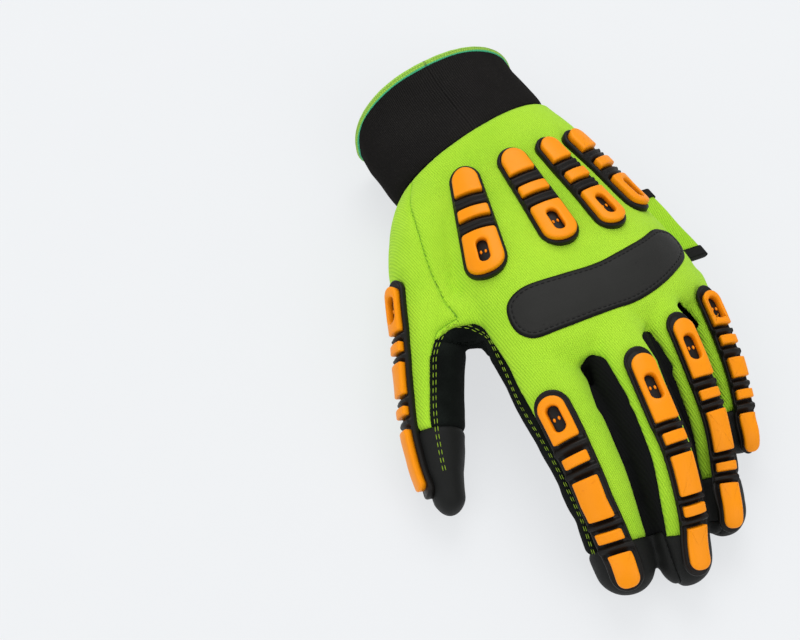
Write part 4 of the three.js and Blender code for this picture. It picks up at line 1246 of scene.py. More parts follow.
def patch_fields() -> dict[str, Field]:
    """Fields of the patches, by node."""
    knuckle = rounded_outline(KNUCKLE_PATCH, 120)
    palm = np.array(PALM_OVERLAY, float)

    def over(points: np.ndarray) -> np.ndarray:
        """The bar patch over the knuckles."""
        return np.minimum(outline_field(knuckle, points), points[:, 2] - 30.0)

    def under(points: np.ndarray) -> np.ndarray:
        """The overlay of the palm."""
        return np.minimum(outline_field(palm, points), 22.0 - points[:, 2])

    fields: dict[str, Field] = {"knuckle_patch": over, "palm_overlay": under}
    for name, (shares, left, right) in FINGER_PATCHES.items():
        def front(points: np.ndarray, name: str = name, shares=shares, left=left, right=right) -> np.ndarray:
            """The patch of one finger front."""
            share, turn, radius = LINES[name].locate(points)
            turned = np.where(turn > 0, turn - 180.0, turn + 180.0)
            low = -np.interp(share, shares, right)
            high = np.interp(share, shares, left)
            side = np.radians(np.minimum(turned - low, high - turned)) * radius
            ends = np.minimum(share - shares[0], shares[-1] - share) * LINES[name].length
            return np.minimum(smooth_min(side, ends, 3.0), 17.0 - radius)
        fields[f"finger_patch_{name}"] = front
    return fields


class Bed:
    """The surface that a guard lies on, read by distances along it and to one side."""

    STEP = 1.5
    REACH = 10.5
    DOME_AT = 6.0
    SMOOTHING = 5
    SINK = 0.2

    def __init__(self, form: Form, frame_at: Callable[[float, float], tuple[Vector, Vector]], length: float,
                 above: float, dome: float) -> None:
        """Measures the cloth's height under the guard.

        Args:
            form: the glove's outer form.
            frame_at: gives a place and an outward direction for two distances.
            length: the guard's length.
            above: where the measuring starts, off the place.
            dome: how much more than the cloth the guard bends, in millimetres at 6 to one side.
        """
        self.length = length
        self.dome = dome / self.DOME_AT ** 2
        self.us = np.arange(-2 * self.STEP, length + 3 * self.STEP, self.STEP)
        self.vs = np.arange(-self.REACH, self.REACH + self.STEP, self.STEP)
        at = np.zeros((len(self.us), len(self.vs), 3))
        out = np.zeros_like(at)
        level = np.zeros(at.shape[:2])
        for i, u in enumerate(self.us):
            for j, v in enumerate(self.vs):
                place, normal = frame_at(float(u), float(v))
                hit, _, _, _ = form.tree.ray_cast(place + normal * above, -normal)
                at[i, j], out[i, j] = place, normal
                level[i, j] = (hit - place).dot(normal) if hit else np.nan
        for i, j in zip(*np.where(np.isnan(level))):
            level[i, j] = np.nanmedian(level[max(i - 2, 0):i + 3, max(j - 2, 0):j + 3])
        smooth = level.copy()
        for _ in range(self.SMOOTHING):
            padded = np.pad(smooth, 1, mode="edge")
            beside = padded[:-2, 1:-1] + padded[2:, 1:-1] + padded[1:-1, :-2] + padded[1:-1, 2:]
            smooth = (beside + 2 * smooth) / 6
        self.base = at + out * np.maximum(smooth, level - self.SINK)[:, :, None]
        self.out = out

    def wrap(self, bm: BMesh) -> None:
        """Lays a flat mesh on the bed: x along, y to the side and z off the cloth."""
        for vert in bm.verts:
            u, v, height = vert.co
            fu = min(max((u - self.us[0]) / self.STEP, 0.0), len(self.us) - 1.001)
            fv = min(max((v - self.vs[0]) / self.STEP, 0.0), len(self.vs) - 1.001)
            i, j = int(fu), int(fv)
            a, b = fu - i, fv - j
            mixed = []
            for grid in (self.base, self.out):
                mixed.append(grid[i, j] * (1 - a) * (1 - b) + grid[i + 1, j] * a * (1 - b)
                             + grid[i, j + 1] * (1 - a) * b + grid[i + 1, j + 1] * a * b)
            vert.co = Vector(mixed[0]) + Vector(mixed[1]).normalized() * (height - self.dome * v * v)


class PadShape(Enum):
    """How a pad's ends are shaped: near the guard's start and its end."""

    NOSE = (1.0, 0.14)
    BLOCK = (0.14, 0.14)
    FOOT = (0.14, 0.96)
    TIP = (0.14, 0.85)


@dataclass(frozen=True)
class Pad:
    """One orange pad of a guard."""

    start: float
    end: float
    half: float
    shape: PadShape
    slotted: bool = False
    flare: float = 0.0

    CORNERS = 9
    SLOT_HALF = 2.2
    SLOT_LENGTH = 10.5
    SLOT_WALL = 1.5
    ROUND = 0.75
    BEVEL = 0.9
    SIDES = 84
    FOOT = PAD_FOOT - 0.6
    TOP_SHARES = (0.18, 0.36, 0.54, 0.72, 0.88, 1.0)
    NUB_ASIDE = 0.95
    NUB_SIZE = (0.8, 0.5, 0.45, 1.0)

    def outline(self) -> np.ndarray:
        """The pad's flat outline with rounded corners."""
        points = []
        first, last = (share * self.half for share in self.shape.value)
        near, far = self.start + first, self.end - last
        arcs = ((far, self.half - last, last, 90), (near, self.half - first, first, 180),
                (near, first - self.half, first, 270), (far, last - self.half, last, 360))
        for x, y, radius, turn in arcs:
            for k in range(self.CORNERS):
                angle = math.radians(turn - 90 + 90 * k / (self.CORNERS - 1))
                points.append((x + radius * math.cos(angle), y + radius * math.sin(angle)))
        outline = np.array(points)
        place = (outline[:, 0] - self.start) / (self.end - self.start) - 0.5
        outline[:, 1] *= 1.0 + place * self.flare / self.half
        return outline

    def slot(self, edge: np.ndarray, middle: np.ndarray) -> np.ndarray:
        """The slot's outline, with a point for each of the pad's edge."""
        half = min(self.SLOT_HALF, self.half - self.SLOT_WALL)
        run = max(min(self.SLOT_LENGTH, self.end - self.start - 5.0) / 2 - half, 0.0)
        turns = np.linspace(0, math.tau, 720, endpoint=False)
        along = np.copysign(run, np.cos(turns)) + half * np.cos(turns)
        oval = middle + np.stack((along, half * np.sin(turns)), 1)
        return matched(resampled(oval, 720), edge, middle)

    def build(self, bm: BMesh) -> None:
        """Adds the pad as a closed form with rounded edges, and its slot."""
        outer = resampled(self.outline(), self.SIDES)
        middle = np.array(((self.start + self.end) / 2, 0.0))
        normals = outward(outer)
        rows = [level_ring(outer, self.FOOT), level_ring(outer, PAD_TOP - self.ROUND)]
        for degrees in (22, 45, 68, 90):
            angle = math.radians(degrees)
            inset, drop = self.ROUND * (1 - math.cos(angle)), self.ROUND * (1 - math.sin(angle))
            rows.append(level_ring(outer - normals * inset, PAD_TOP - drop))
        edge = outer - normals * self.ROUND
        if self.slotted:
            self.slotted_top(rows, edge, middle)
            sheet(bm, rows, loop=True)
            self.nubs(bm, middle)
            return
        rows += [level_ring(edge + (middle - edge) * share, PAD_TOP) for share in self.TOP_SHARES]
        under = [outer + (middle - outer) * share for share in (1.0, 0.5)]
        sheet(bm, [level_ring(ring, self.FOOT) for ring in under] + rows)

    def slotted_top(self, rows: list, edge: np.ndarray, middle: np.ndarray) -> None:
        """Adds the rows of a top with a slot, down to the slot's foot."""
        inner = self.slot(edge, middle)
        slot_out = outward(inner)
        rim = inner + slot_out * self.BEVEL
        for share in (0.25, 0.5, 0.75):
            rows.append(level_ring(edge + (rim - edge) * share, PAD_TOP))
        for degrees in (0, 30, 60, 90):
            angle = math.radians(degrees)
            grow, drop = self.BEVEL * (1 - math.sin(angle)), self.BEVEL * (1 - math.cos(angle))
            rows.append(level_ring(inner + slot_out * grow, PAD_TOP - drop))
        rows.append(level_ring(inner, self.FOOT))

    def nubs(self, bm: BMesh, middle: np.ndarray) -> None:
        """Adds the two small nubs in the slot."""
        for aside in (-self.NUB_ASIDE, self.NUB_ASIDE):
            place = Matrix.Translation((middle[0], aside, BASE_TOP)) @ Matrix.Diagonal(self.NUB_SIZE)
            bmesh.ops.create_icosphere(bm, subdivisions=2, radius=1.0, matrix=place)


def level_ring(outline: np.ndarray, height: float) -> list[Vector]:
    """A flat outline's points at one height."""
    return [Vector((x, y, height)) for x, y in outline]


def resampled(outline: np.ndarray, count: int) -> np.ndarray:
    """A closed outline with evenly spaced points, its corners kept close."""
    ring = np.vstack((outline, outline[:1]))
    steps = np.linalg.norm(np.diff(ring, axis=0), axis=1)
    run = np.concatenate(((0.0,), np.cumsum(steps)))
    places = np.linspace(0, run[-1], count, endpoint=False)
    return np.stack((np.interp(places, run, ring[:, 0]), np.interp(places, run, ring[:, 1])), 1)


def outward(outline: np.ndarray) -> np.ndarray:
    """Outward directions of a closed outline that runs anticlockwise."""
    step = np.roll(outline, -1, axis=0) - np.roll(outline, 1, axis=0)
    step /= np.linalg.norm(step, axis=1)[:, None] + 1e-9
    return np.stack((step[:, 1], -step[:, 0]), 1)


def inset_outline(outline: np.ndarray, depth: float) -> np.ndarray:
    """A closed outline moved inwards, whichever way it runs."""
    x, y = outline.T
    area = (x * np.roll(y, -1) - y * np.roll(x, -1)).sum()
    return outline - outward(outline) * math.copysign(depth, area)


def round_end(far: np.ndarray, run: float) -> np.ndarray:
    """The share of its full width that a round end has, at distances from its tip."""
    return np.sqrt(np.clip(1 - ((run - np.clip(far, 0, run)) / run) ** 2, 0, 1))


def matched(inner: np.ndarray, outer: np.ndarray, middle: np.ndarray) -> np.ndarray:
    """Points of an inner outline in the directions of an outer one's, seen from the middle."""
    gap = inner - middle
    angles = np.unwrap(np.arctan2(gap[:, 1], gap[:, 0]))
    radii = np.linalg.norm(gap, axis=1)
    out = outer - middle
    wanted = np.arctan2(out[:, 1], out[:, 0])
    order = np.argsort(angles % math.tau)
    tables = (angles % math.tau)[order], radii[order]
    found = np.interp(wanted % math.tau, *tables, period=math.tau)
    return middle + np.stack((np.cos(wanted), np.sin(wanted)), 1) * found[:, None]


@dataclass
class Guard:
    """A moulded guard: a black base with ribs, and orange pads."""

    name: str
    bed: Bed
    length: float
    pads: Sequence[Pad]
    widths: tuple[float, float]
    taper: tuple[float, float]
    ribs: int

    RIM = 1.2
    ROUND = 0.9
    TAIL = 1.05
    # Distances of the mesh's rows from the ends and from the edge, and between the rows
    END_STEPS = (0.0, 0.12, 0.35, 0.7, 1.2, 1.8, 2.5, 3.2)
    EDGE_STEPS = (0.0, 0.12, 0.32, 0.6, 0.95, 1.3, 1.6, 1.9)
    ROW_STEP = 0.42
    UNDER = -0.2
    # The rim over the base's level, the floor under the rim, a rib's rise, and a groove's depth and
    # half width
    RIM_RISE = 0.35
    FLOOR_DROP = 0.55
    RIB_RISE = 1.75
    GROOVE = 0.5
    GROOVE_HALF = 0.7
    # Half a rib's thickness as a share of the gap between pads, by the number of ribs in it
    RIB_HALF = {1: 0.23, 2: 0.155}

    def half_at(self, u: np.ndarray) -> np.ndarray:
        """Half the base's width at distances along it, with round ends."""
        first, last = self.widths
        half = np.interp(u, self.taper, self.widths)
        return half * round_end(u, first) * round_end(self.length - u, last * self.TAIL)

    def build(self) -> None:
        """Makes the base and the pads."""
        self.base()
        bm = bmesh.new()
        for pad in self.pads:
            pad.build(bm)
        bmesh.ops.recalc_face_normals(bm, faces=bm.faces)
        self.bed.wrap(bm)
        finish_piece(f"{self.name}_pads", bm, Look.ORANGE, (f"{self.name}_pads",))

    def base(self) -> None:
        """Makes the black base as a plate with a round edge, ribs and grooves."""
        ends, rim = np.array(self.END_STEPS), np.array(self.EDGE_STEPS)
        middle = np.arange(3.8, self.length - 3.6, self.ROW_STEP)
        us = np.concatenate((ends, middle, self.length - ends[::-1]))
        half = self.half_at(us)
        fine = np.linspace(0, 1, 7)[1:]
        upper = np.concatenate((us, us[::-1]))
        edge = np.stack((upper, np.concatenate((half, -half[::-1]))), 1)
        rows = []
        for u, wide in zip(us, half):
            room = min(1.0, wide / 4.0)
            reach = wide - rim * room
            inner = reach[-1] * (1 - fine)
            side = np.concatenate((reach, inner))
            rows.append(np.concatenate((side, -side[::-1][1:])))
        grid = np.stack((np.repeat(us, len(rows[0])), np.concatenate(rows)), 1)
        inset = np.abs(outline_field(edge, grid))
        height = self.relief(grid, inset)
        bm = bmesh.new()
        places = np.column_stack((grid, height)).reshape(len(us), -1, 3)
        sheet(bm, [[Vector(place) for place in row] for row in places], around=False)
        made = bmesh.ops.extrude_edge_only(bm, edges=[edge for edge in bm.edges if edge.is_boundary])
        for vert in made["geom"]:
            if isinstance(vert, bmesh.types.BMVert):
                vert.co.z = self.UNDER
        closed(bm)
        self.bed.wrap(bm)
        finish_piece(f"{self.name}_base", bm, Look.RUBBER, (f"{self.name}_base",))

    def relief(self, grid: np.ndarray, inset: np.ndarray) -> np.ndarray:
        """Height of the base's top at flat places.

        Args:
            grid: the places.
            inset: their distances from the base's edge.

        Returns:
            The heights off the cloth.
        """
        corner = np.clip(self.ROUND - inset, 0, self.ROUND)
        height = BASE_TOP + self.RIM_RISE - self.ROUND + np.sqrt(self.ROUND ** 2 - corner ** 2)
        floor = smoothstep(self.RIM - 0.2, self.RIM + 0.35, inset)
        height -= self.FLOOR_DROP * floor
        u, v = grid.T
        inside = smoothstep(0.3, 1.3, inset)
        for before, after in zip(self.pads, self.pads[1:]):
            low, high = before.end, after.start
            gap = high - low
            rib = gap * self.RIB_HALF[self.ribs]
            for k in range(self.ribs):
                centre = low + gap * (k + 1) / (self.ribs + 1)
                bump = np.exp(-np.abs((u - centre) / rib) ** 4)
                height += self.RIB_RISE * bump * inside
            for centre in (low + gap * 0.04, high - gap * 0.04):
                height -= self.GROOVE * np.exp(-((u - centre) / self.GROOVE_HALF) ** 2) * floor
        return height


@dataclass(frozen=True)
class FingerGuardSpec:
    """Where a finger guard lies, half its width and its pads', and how the pads are spaced."""

    start: float
    end: float
    base: float
    pad: float
    turn: tuple[float, float, float]
    stops: tuple[float, ...]


FINGER_GUARDS = {
    "index": FingerGuardSpec(0.175, 81.5, 7.4, 4.5, (-24, -27.5, -13.5),
                             (3, 20.5, 26.5, 30.6, 36, 52.2, 57, 61.2, 66.5, 78.5)),
    "middle": FingerGuardSpec(0.145, 91, 6.2, 4, (10, 11.5, 12),
                              (4.3, 31.5, 36, 40.3, 44.7, 59.7, 63.5, 67.3, 72, 87.7)),
    "ring": FingerGuardSpec(0.12, 88.5, 5.7, 3.8, (12, 12, 8),
                            (4.2, 27.8, 32.8, 36.5, 41.2, 56.5, 60.8, 64.2, 69.2, 85.2)),
    "little": FingerGuardSpec(0.085, 71.5, 4.9, 3.4, (23, 22, 10),
                              (3.5, 18, 22.7, 26.3, 32, 39.7, 44.7, 48.3, 54.3, 68.5)),
    "thumb": FingerGuardSpec(0.337, 87, 4.9, 3.5, (-59, -74, -80),
                             (3.2, 21.5, 25.7, 29.5, 33.7, 46.3, 51, 54.5, 60, 83.5)),
}
KNUCKLE_WIDER = 0.25
TIP_SLIM = 0.88

# Guards over the hand bones: start and end in plan, height, turn to the little finger, and half
# the width at the wrist end and at the knuckle end
HAND_GUARDS = {
    "index": (Vector((-11.6, 74.4, 46.0)), Vector((-20.7, 21.4, 46.0)), -8.0, 6.0, 9.4),
    "middle": (Vector((7.5, 75.0, 48.0)), Vector((11.9, 23.3, 48.0)), 0.0, 6.1, 8.6),
    "ring": (Vector((22.6, 75.4, 45.0)), Vector((34.2, 25.2, 45.0)), 12.0, 5.1, 7.3),
    "little": (Vector((31.9, 76.4, 36.0)), Vector((49.8, 33.8, 36.0)), 33.0, 5.0, 7.1),
}
# Their pads, from and to in shares of the length, and the rim beside the pads
HAND_PADS = ((0.04, 0.27, PadShape.NOSE), (0.405, 0.495, PadShape.BLOCK), (0.62, 0.975, PadShape.FOOT))
HAND_RIM = 1.25
# Where a bed's measuring starts above the cloth and how much more the guard bends
FINGER_BED = (12.0, 0.7)
HAND_BED = (30.0, 0.8)


class Guards:
    """All the moulded guards of the glove."""

    def __init__(self, form: Form) -> None:
        """Keeps the form that they lie on."""
        self.form = form

    def build(self) -> None:
        """Makes each guard."""
        for name, spec in FINGER_GUARDS.items():
            self.finger(name, spec).build()
        for name, place in HAND_GUARDS.items():
            self.hand(name, *place).build()

    def finger(self, name: str, spec: FingerGuardSpec) -> Guard:
        """A guard along a finger or the thumb."""
        line = LINES[name]
        end = line.station(1.0)

        def turn_at(share: float) -> float:
            """The guard's turn round the finger."""
            place = min(max((share - spec.start) / (1 - spec.start), 0.0), 1.0)
            return float(np.interp(place, (0, 0.5, 1), spec.turn))

        def surface(share: float, degrees: float) -> tuple[Vector, Vector, float]:
            """A place on the finger's plain form, its outward direction and its radius."""
            station = line.station(min(share, 1.0))
            rise = math.radians(max(0.0, share - 1.0) * 90)
            out = station.around(degrees, 0) - station.at
            normal = station.around(degrees, 1) - station.at - out
            normal = (normal * math.cos(rise) + end.along * math.sin(rise)).normalized()
            place = station.at + out * math.cos(rise) + end.along * (math.sin(rise) * end.height)
            return place, normal, out.length * math.cos(rise)

        shares = np.arange(spec.start - 0.1, 1.8, 0.01)
        path = []
        for share in shares:
            place, normal, _ = surface(float(share), turn_at(float(share)))
            path.append(place + normal * PAD_FOOT)
        runs = np.concatenate(((0.0,), np.cumsum([(b - a).length for a, b in zip(path, path[1:])])))
        runs -= np.interp(spec.start, shares, runs)

        def frame_at(u: float, v: float) -> tuple[Vector, Vector]:
            """The place on the finger's form at a distance along the guard and to one side."""
            share = float(np.interp(u, runs, shares))
            _, _, radius = surface(share, turn_at(share))
            spread = math.degrees(v / (max(radius, 6.0) + PAD_FOOT))
            place, normal, _ = surface(share, turn_at(share) + spread)
            return place, normal

        shapes = (PadShape.NOSE, PadShape.BLOCK, PadShape.BLOCK, PadShape.BLOCK, PadShape.TIP)
        halves = (spec.pad + KNUCKLE_WIDER, spec.pad, spec.pad, spec.pad, spec.pad * TIP_SLIM)
        pads = [Pad(spec.stops[2 * i], spec.stops[2 * i + 1], half, shape, i == 0)
                for i, (half, shape) in enumerate(zip(halves, shapes))]
        bed = Bed(self.form, frame_at, spec.end, *FINGER_BED)
        widths = (spec.base + KNUCKLE_WIDER, spec.base)
        return Guard(f"guard_{name}", bed, spec.end, pads, widths, (spec.stops[1], spec.stops[2]), 1)

    def hand(self, name: str, start: Vector, end: Vector, turn: float, narrow: float, wide: float) -> Guard:
        """A guard over one of the hand bones."""
        length = (end - start).length
        along = (end - start).normalized()
        normal = Matrix.Rotation(-math.radians(turn), 3, along) @ UP
        across = normal.cross(along).normalized()

        def frame_at(u: float, v: float) -> tuple[Vector, Vector]:
            """A place on the plane above the hand."""
            return start + along * u + across * v, normal

        pads = []
        for a, b, shape in HAND_PADS:
            half = narrow + (wide - narrow) * (a + b) / 2 - HAND_RIM
            flare = (wide - narrow) * (b - a)
            pads.append(Pad(a * length, b * length, half, shape, shape is PadShape.FOOT, flare))
        bed = Bed(self.form, frame_at, length, *HAND_BED)
        return Guard(f"hand_guard_{name}", bed, length, pads, (narrow, wide), (0.0, length), 2)


@dataclass
class Cuff:
    """The ribbed cuff with its binding round the rim."""

    ribs: int = 260
    rib_height: float = 0.2
    rows: int = 40
    wall: float = 2.0
    binding_width: float = 3.4
    binding_half: float = 1.75

    # Its girth for the thread pattern in metres, how far and how soon it is drawn in at the wrist,
    # and the hump and sink of its surface
    AROUND = 0.22
    TUCK = 1.1
    TUCK_RUN = 2.2
    SWELL = 0.5
    SINK = 0.2
    LOWEST = 0.35
    # The binding's mesh, its reach past the rim, its unevenness and the angles of its shaded edge
    BINDING_SIDES = 360
    BINDING_STEPS = 20
    PAST_RIM = 0.9
    WAVER = 0.16
    SHADED = (-2.2, -0.75)

    def ring(self, share: float, offset: float, sides: int) -> list[Vector]:
        """Points round the cuff at a share of its length."""
        place = share * (len(CUFF) - 1)
        i = min(max(int(place), 0), len(CUFF) - 2)
        t = place - i
        pairs = ((np.array(a, float), np.array(b, float)) for a, b in zip(CUFF[i], CUFF[i + 1]))
        left, right, sizes, lean = (a + (b - a) * t for a, b in pairs)
        return section(left, right, *sizes, (CUFF_POWER, CUFF_POWER), float(lean), offset, sides)

    @staticmethod
    def wound(rings: Sequence[Sequence[Vector]], marks: Sequence[Sequence[tuple]]) -> BMesh:
        """A tube through rings, of which the last joins the first.

        Args:
            rings: the points of each ring.
            marks: the cloth attribute of each point.

        Returns:
            The closed tube.
        """
        bm = bmesh.new()
        layer = bm.verts.layers.float_vector.new("cloth")
        made = bmesh.ops.create_grid(bm, x_segments=len(rings[0]), y_segments=len(rings), size=1.0)["verts"]
        points = [point for ring in (*rings, rings[0]) for point in (*ring, ring[0])]
        values = [mark for ring in (*marks, marks[0]) for mark in (*ring, ring[0])]
        for vert, point, value in zip(made, points, values):
            vert.co, vert[layer] = point, value
        bmesh.ops.remove_doubles(bm, verts=bm.verts, dist=MERGE)
        bmesh.ops.recalc_face_normals(bm, faces=bm.faces)
        return bm

    def build(self) -> None:
        """Makes the cuff and the binding."""
        self.tube()
        self.binding()

    def tube(self) -> None:
        """Makes the ribbed tube."""
        sides = self.ribs * 4
        rings, marks = [], []
        for share in np.linspace(-0.012, 1.0, self.rows):
            tuck = self.TUCK * math.exp(-max(share, 0.0) * CUFF_LENGTH / self.TUCK_RUN)
            base = self.ring(share, -tuck, sides)
            inner = self.ring(share, -tuck - 4.0, sides)
            ring, mark = [], []
            for k, (point, core) in enumerate(zip(base, inner)):
                wave = math.sin(k / 4 * math.tau)
                swell = self.SWELL * noise.noise(Vector((k * 0.012, share * 3.0, 4.0)))
                out = (point - core).normalized()
                ring.append(point + out * (self.rib_height * wave * 0.5 + swell - self.SINK))
                ring[-1].z = max(ring[-1].z, self.LOWEST)
                mark.append((k / sides * self.AROUND, share * 0.042, 0.5 + 0.5 * wave))
            rings.append(ring)
            marks.append(mark)
        for share in (1.0, 0.66, 0.33, 0.0):
            rings.append(self.ring(share, -self.wall - 0.6, sides))
            marks.append([(0.0, 0.0, 0.2)] * sides)
        finish_piece("cuff", self.wound(rings, marks), Look.CUFF, ("cuff",))

    def binding(self) -> None:
        """Makes the rounded binding that wraps the rim."""
        sides, steps = self.BINDING_SIDES, self.BINDING_STEPS
        rings, marks = [], []
        for k in range(steps):
            angle = k / steps * math.tau
            reach = math.sin(angle) * self.binding_width / 2 - self.binding_width / 2 + self.PAST_RIM
            offset = math.cos(angle) * self.binding_half - self.wall / 2 + 0.15
            ring = self.ring(1.0 + reach / CUFF_LENGTH, offset, sides)
            for i, point in enumerate(ring):
                wave = self.WAVER * noise.noise(Vector((i * 0.21, k * 0.3, 9.0)))
                point.z = max(point.z + wave, 0.05)
            rings.append(ring)
            low, high = self.SHADED
            edge = 1.0 if low < angle - math.tau < high and math.cos(angle) > -0.1 else 0.0
            marks.append([(i / sides * self.AROUND, k / steps * 0.01, edge) for i in range(sides)])
        bm = self.wound(rings, marks)
        finish_piece("cuff_binding", bm, Look.BINDING, ("cuff_binding",))


@dataclass
class SideTab:
    """The pull tab on the little-finger side with its two bindings."""

    near: float = 16.0
    far: float = 50.5
    reach: float = 8.2
    level: float = 20.6
    thick: float = 2.2
    band: float = 3.4

    # How far it starts inside the hand, the bindings' reach past its ends and over its faces
    INSIDE = 3.0
    PAST = 0.9
    OVER = 0.75

    def edge(self, y: float) -> float:
        """Where the hand's edge is at a distance along it."""
        ys = [row[1][1] for row in HAND][::-1]
        xs = [row[1][0] for row in HAND][::-1]
        return float(np.interp(y, ys, xs))

    def slab(self, start: float, end: float, grow: float) -> BMesh:
        """A rounded slab of the tab's outline between two distances along it."""
        rows = []
        for y in np.linspace(start, end, 30):
            share = (y - self.near) / (self.far - self.near)
            inner = self.edge(y) - self.INSIDE
            outer = self.edge(self.near) * (1 - share) + self.edge(self.far) * share + self.reach + grow
            half = self.thick / 2 + grow
            middle = self.level + self.thick / 2 + 0.25 * math.sin(y * 0.35)
            arc = [(outer - half + half * math.sin(a), middle + half * math.cos(a))
                   for a in np.linspace(0, math.pi, 9)]
            flat = np.linspace(inner, outer - half, 8)[:-1]
            profile = [(x, middle + half) for x in flat] + arc + [(x, middle - half) for x in flat[::-1]]
            rows.append([Vector((x, y, z)) for x, z in profile])
        bm = bmesh.new()
        sheet(bm, rows)
        closed(bm)
        return bm

    def build(self) -> None:
        """Makes the tab and its bindings."""
        green = self.slab(self.near, self.far, 0.0)
        add_cloth(green, points_of(green) * MM * np.array((1, 1, 0)))
        finish_piece("side_tab", green, Look.GREEN, ("side_tab",))
        for name, start, end in (("front", self.near - self.PAST, self.near + self.band),
                                 ("back", self.far - self.band, self.far + self.PAST)):
            bm = self.slab(start, end, self.OVER)
            ends = [edge for edge in bm.edges if len(edge.link_faces) == 2 and edge.calc_face_angle(0) > 1.2]
            bmesh.ops.bevel(bm, geom=ends, offset=0.6, offset_type="OFFSET", segments=3, profile=0.5,
                            affect="EDGES", material=-1)
            node = f"side_tab_binding_{name}"
            finish_piece(node, bm, Look.TRIM, (node,))


@dataclass
class Thread:
    """Runs of stitches of one thread, joined in one piece."""

    name: str
    look: Look
    slot: str
    length: float = 2.1
    pause: float = 0.9
    radius: float = 0.17
    bm: BMesh = field(default_factory=bmesh.new)

    def run(self, path: Sequence[Vector], normals: Sequence[Vector], level: float) -> None:
        """Adds stitches along a path on a surface.

        Args:
            path: points of the path.
            normals: the surface's outward directions there.
            level: how high the thread lies off the path.
        """
        runs = np.concatenate(((0.0,), np.cumsum([(b - a).length for a, b in zip(path, path[1:])])))
        points, ups = np.array([p[:] for p in path]), np.array([n[:] for n in normals])

        def at(distance: float, table: np.ndarray) -> Vector:
            """Reads a table at a distance along the path."""
            return Vector([float(np.interp(distance, runs, table[:, k])) for k in range(3)])

        place = self.pause
        while place + self.length < runs[-1]:
            a, b = at(place, points), at(place + self.length, points)
            up = at(place + self.length / 2, ups).normalized()
            along = (b - a).normalized()
            side = up.cross(along).normalized()
            up = along.cross(side)
            middle = at(place + self.length / 2, points) + up * level
            turn = Matrix((along, side, up)).transposed().to_4x4()
            size = Matrix.Diagonal(((b - a).length / 2, self.radius, self.radius * 0.8, 1.0))
            matrix = Matrix.Translation(middle) @ turn @ size
            bmesh.ops.create_uvsphere(self.bm, u_segments=6, v_segments=5, radius=1.0,
                                      matrix=matrix @ Matrix.Rotation(math.pi / 2, 4, "Y"))
            place += self.length + self.pause

    def build(self) -> None:
        """Joins the stitches into one piece."""
        bmesh.ops.recalc_face_normals(self.bm, faces=self.bm.faces)
        finish_piece(self.name, self.bm, self.look)


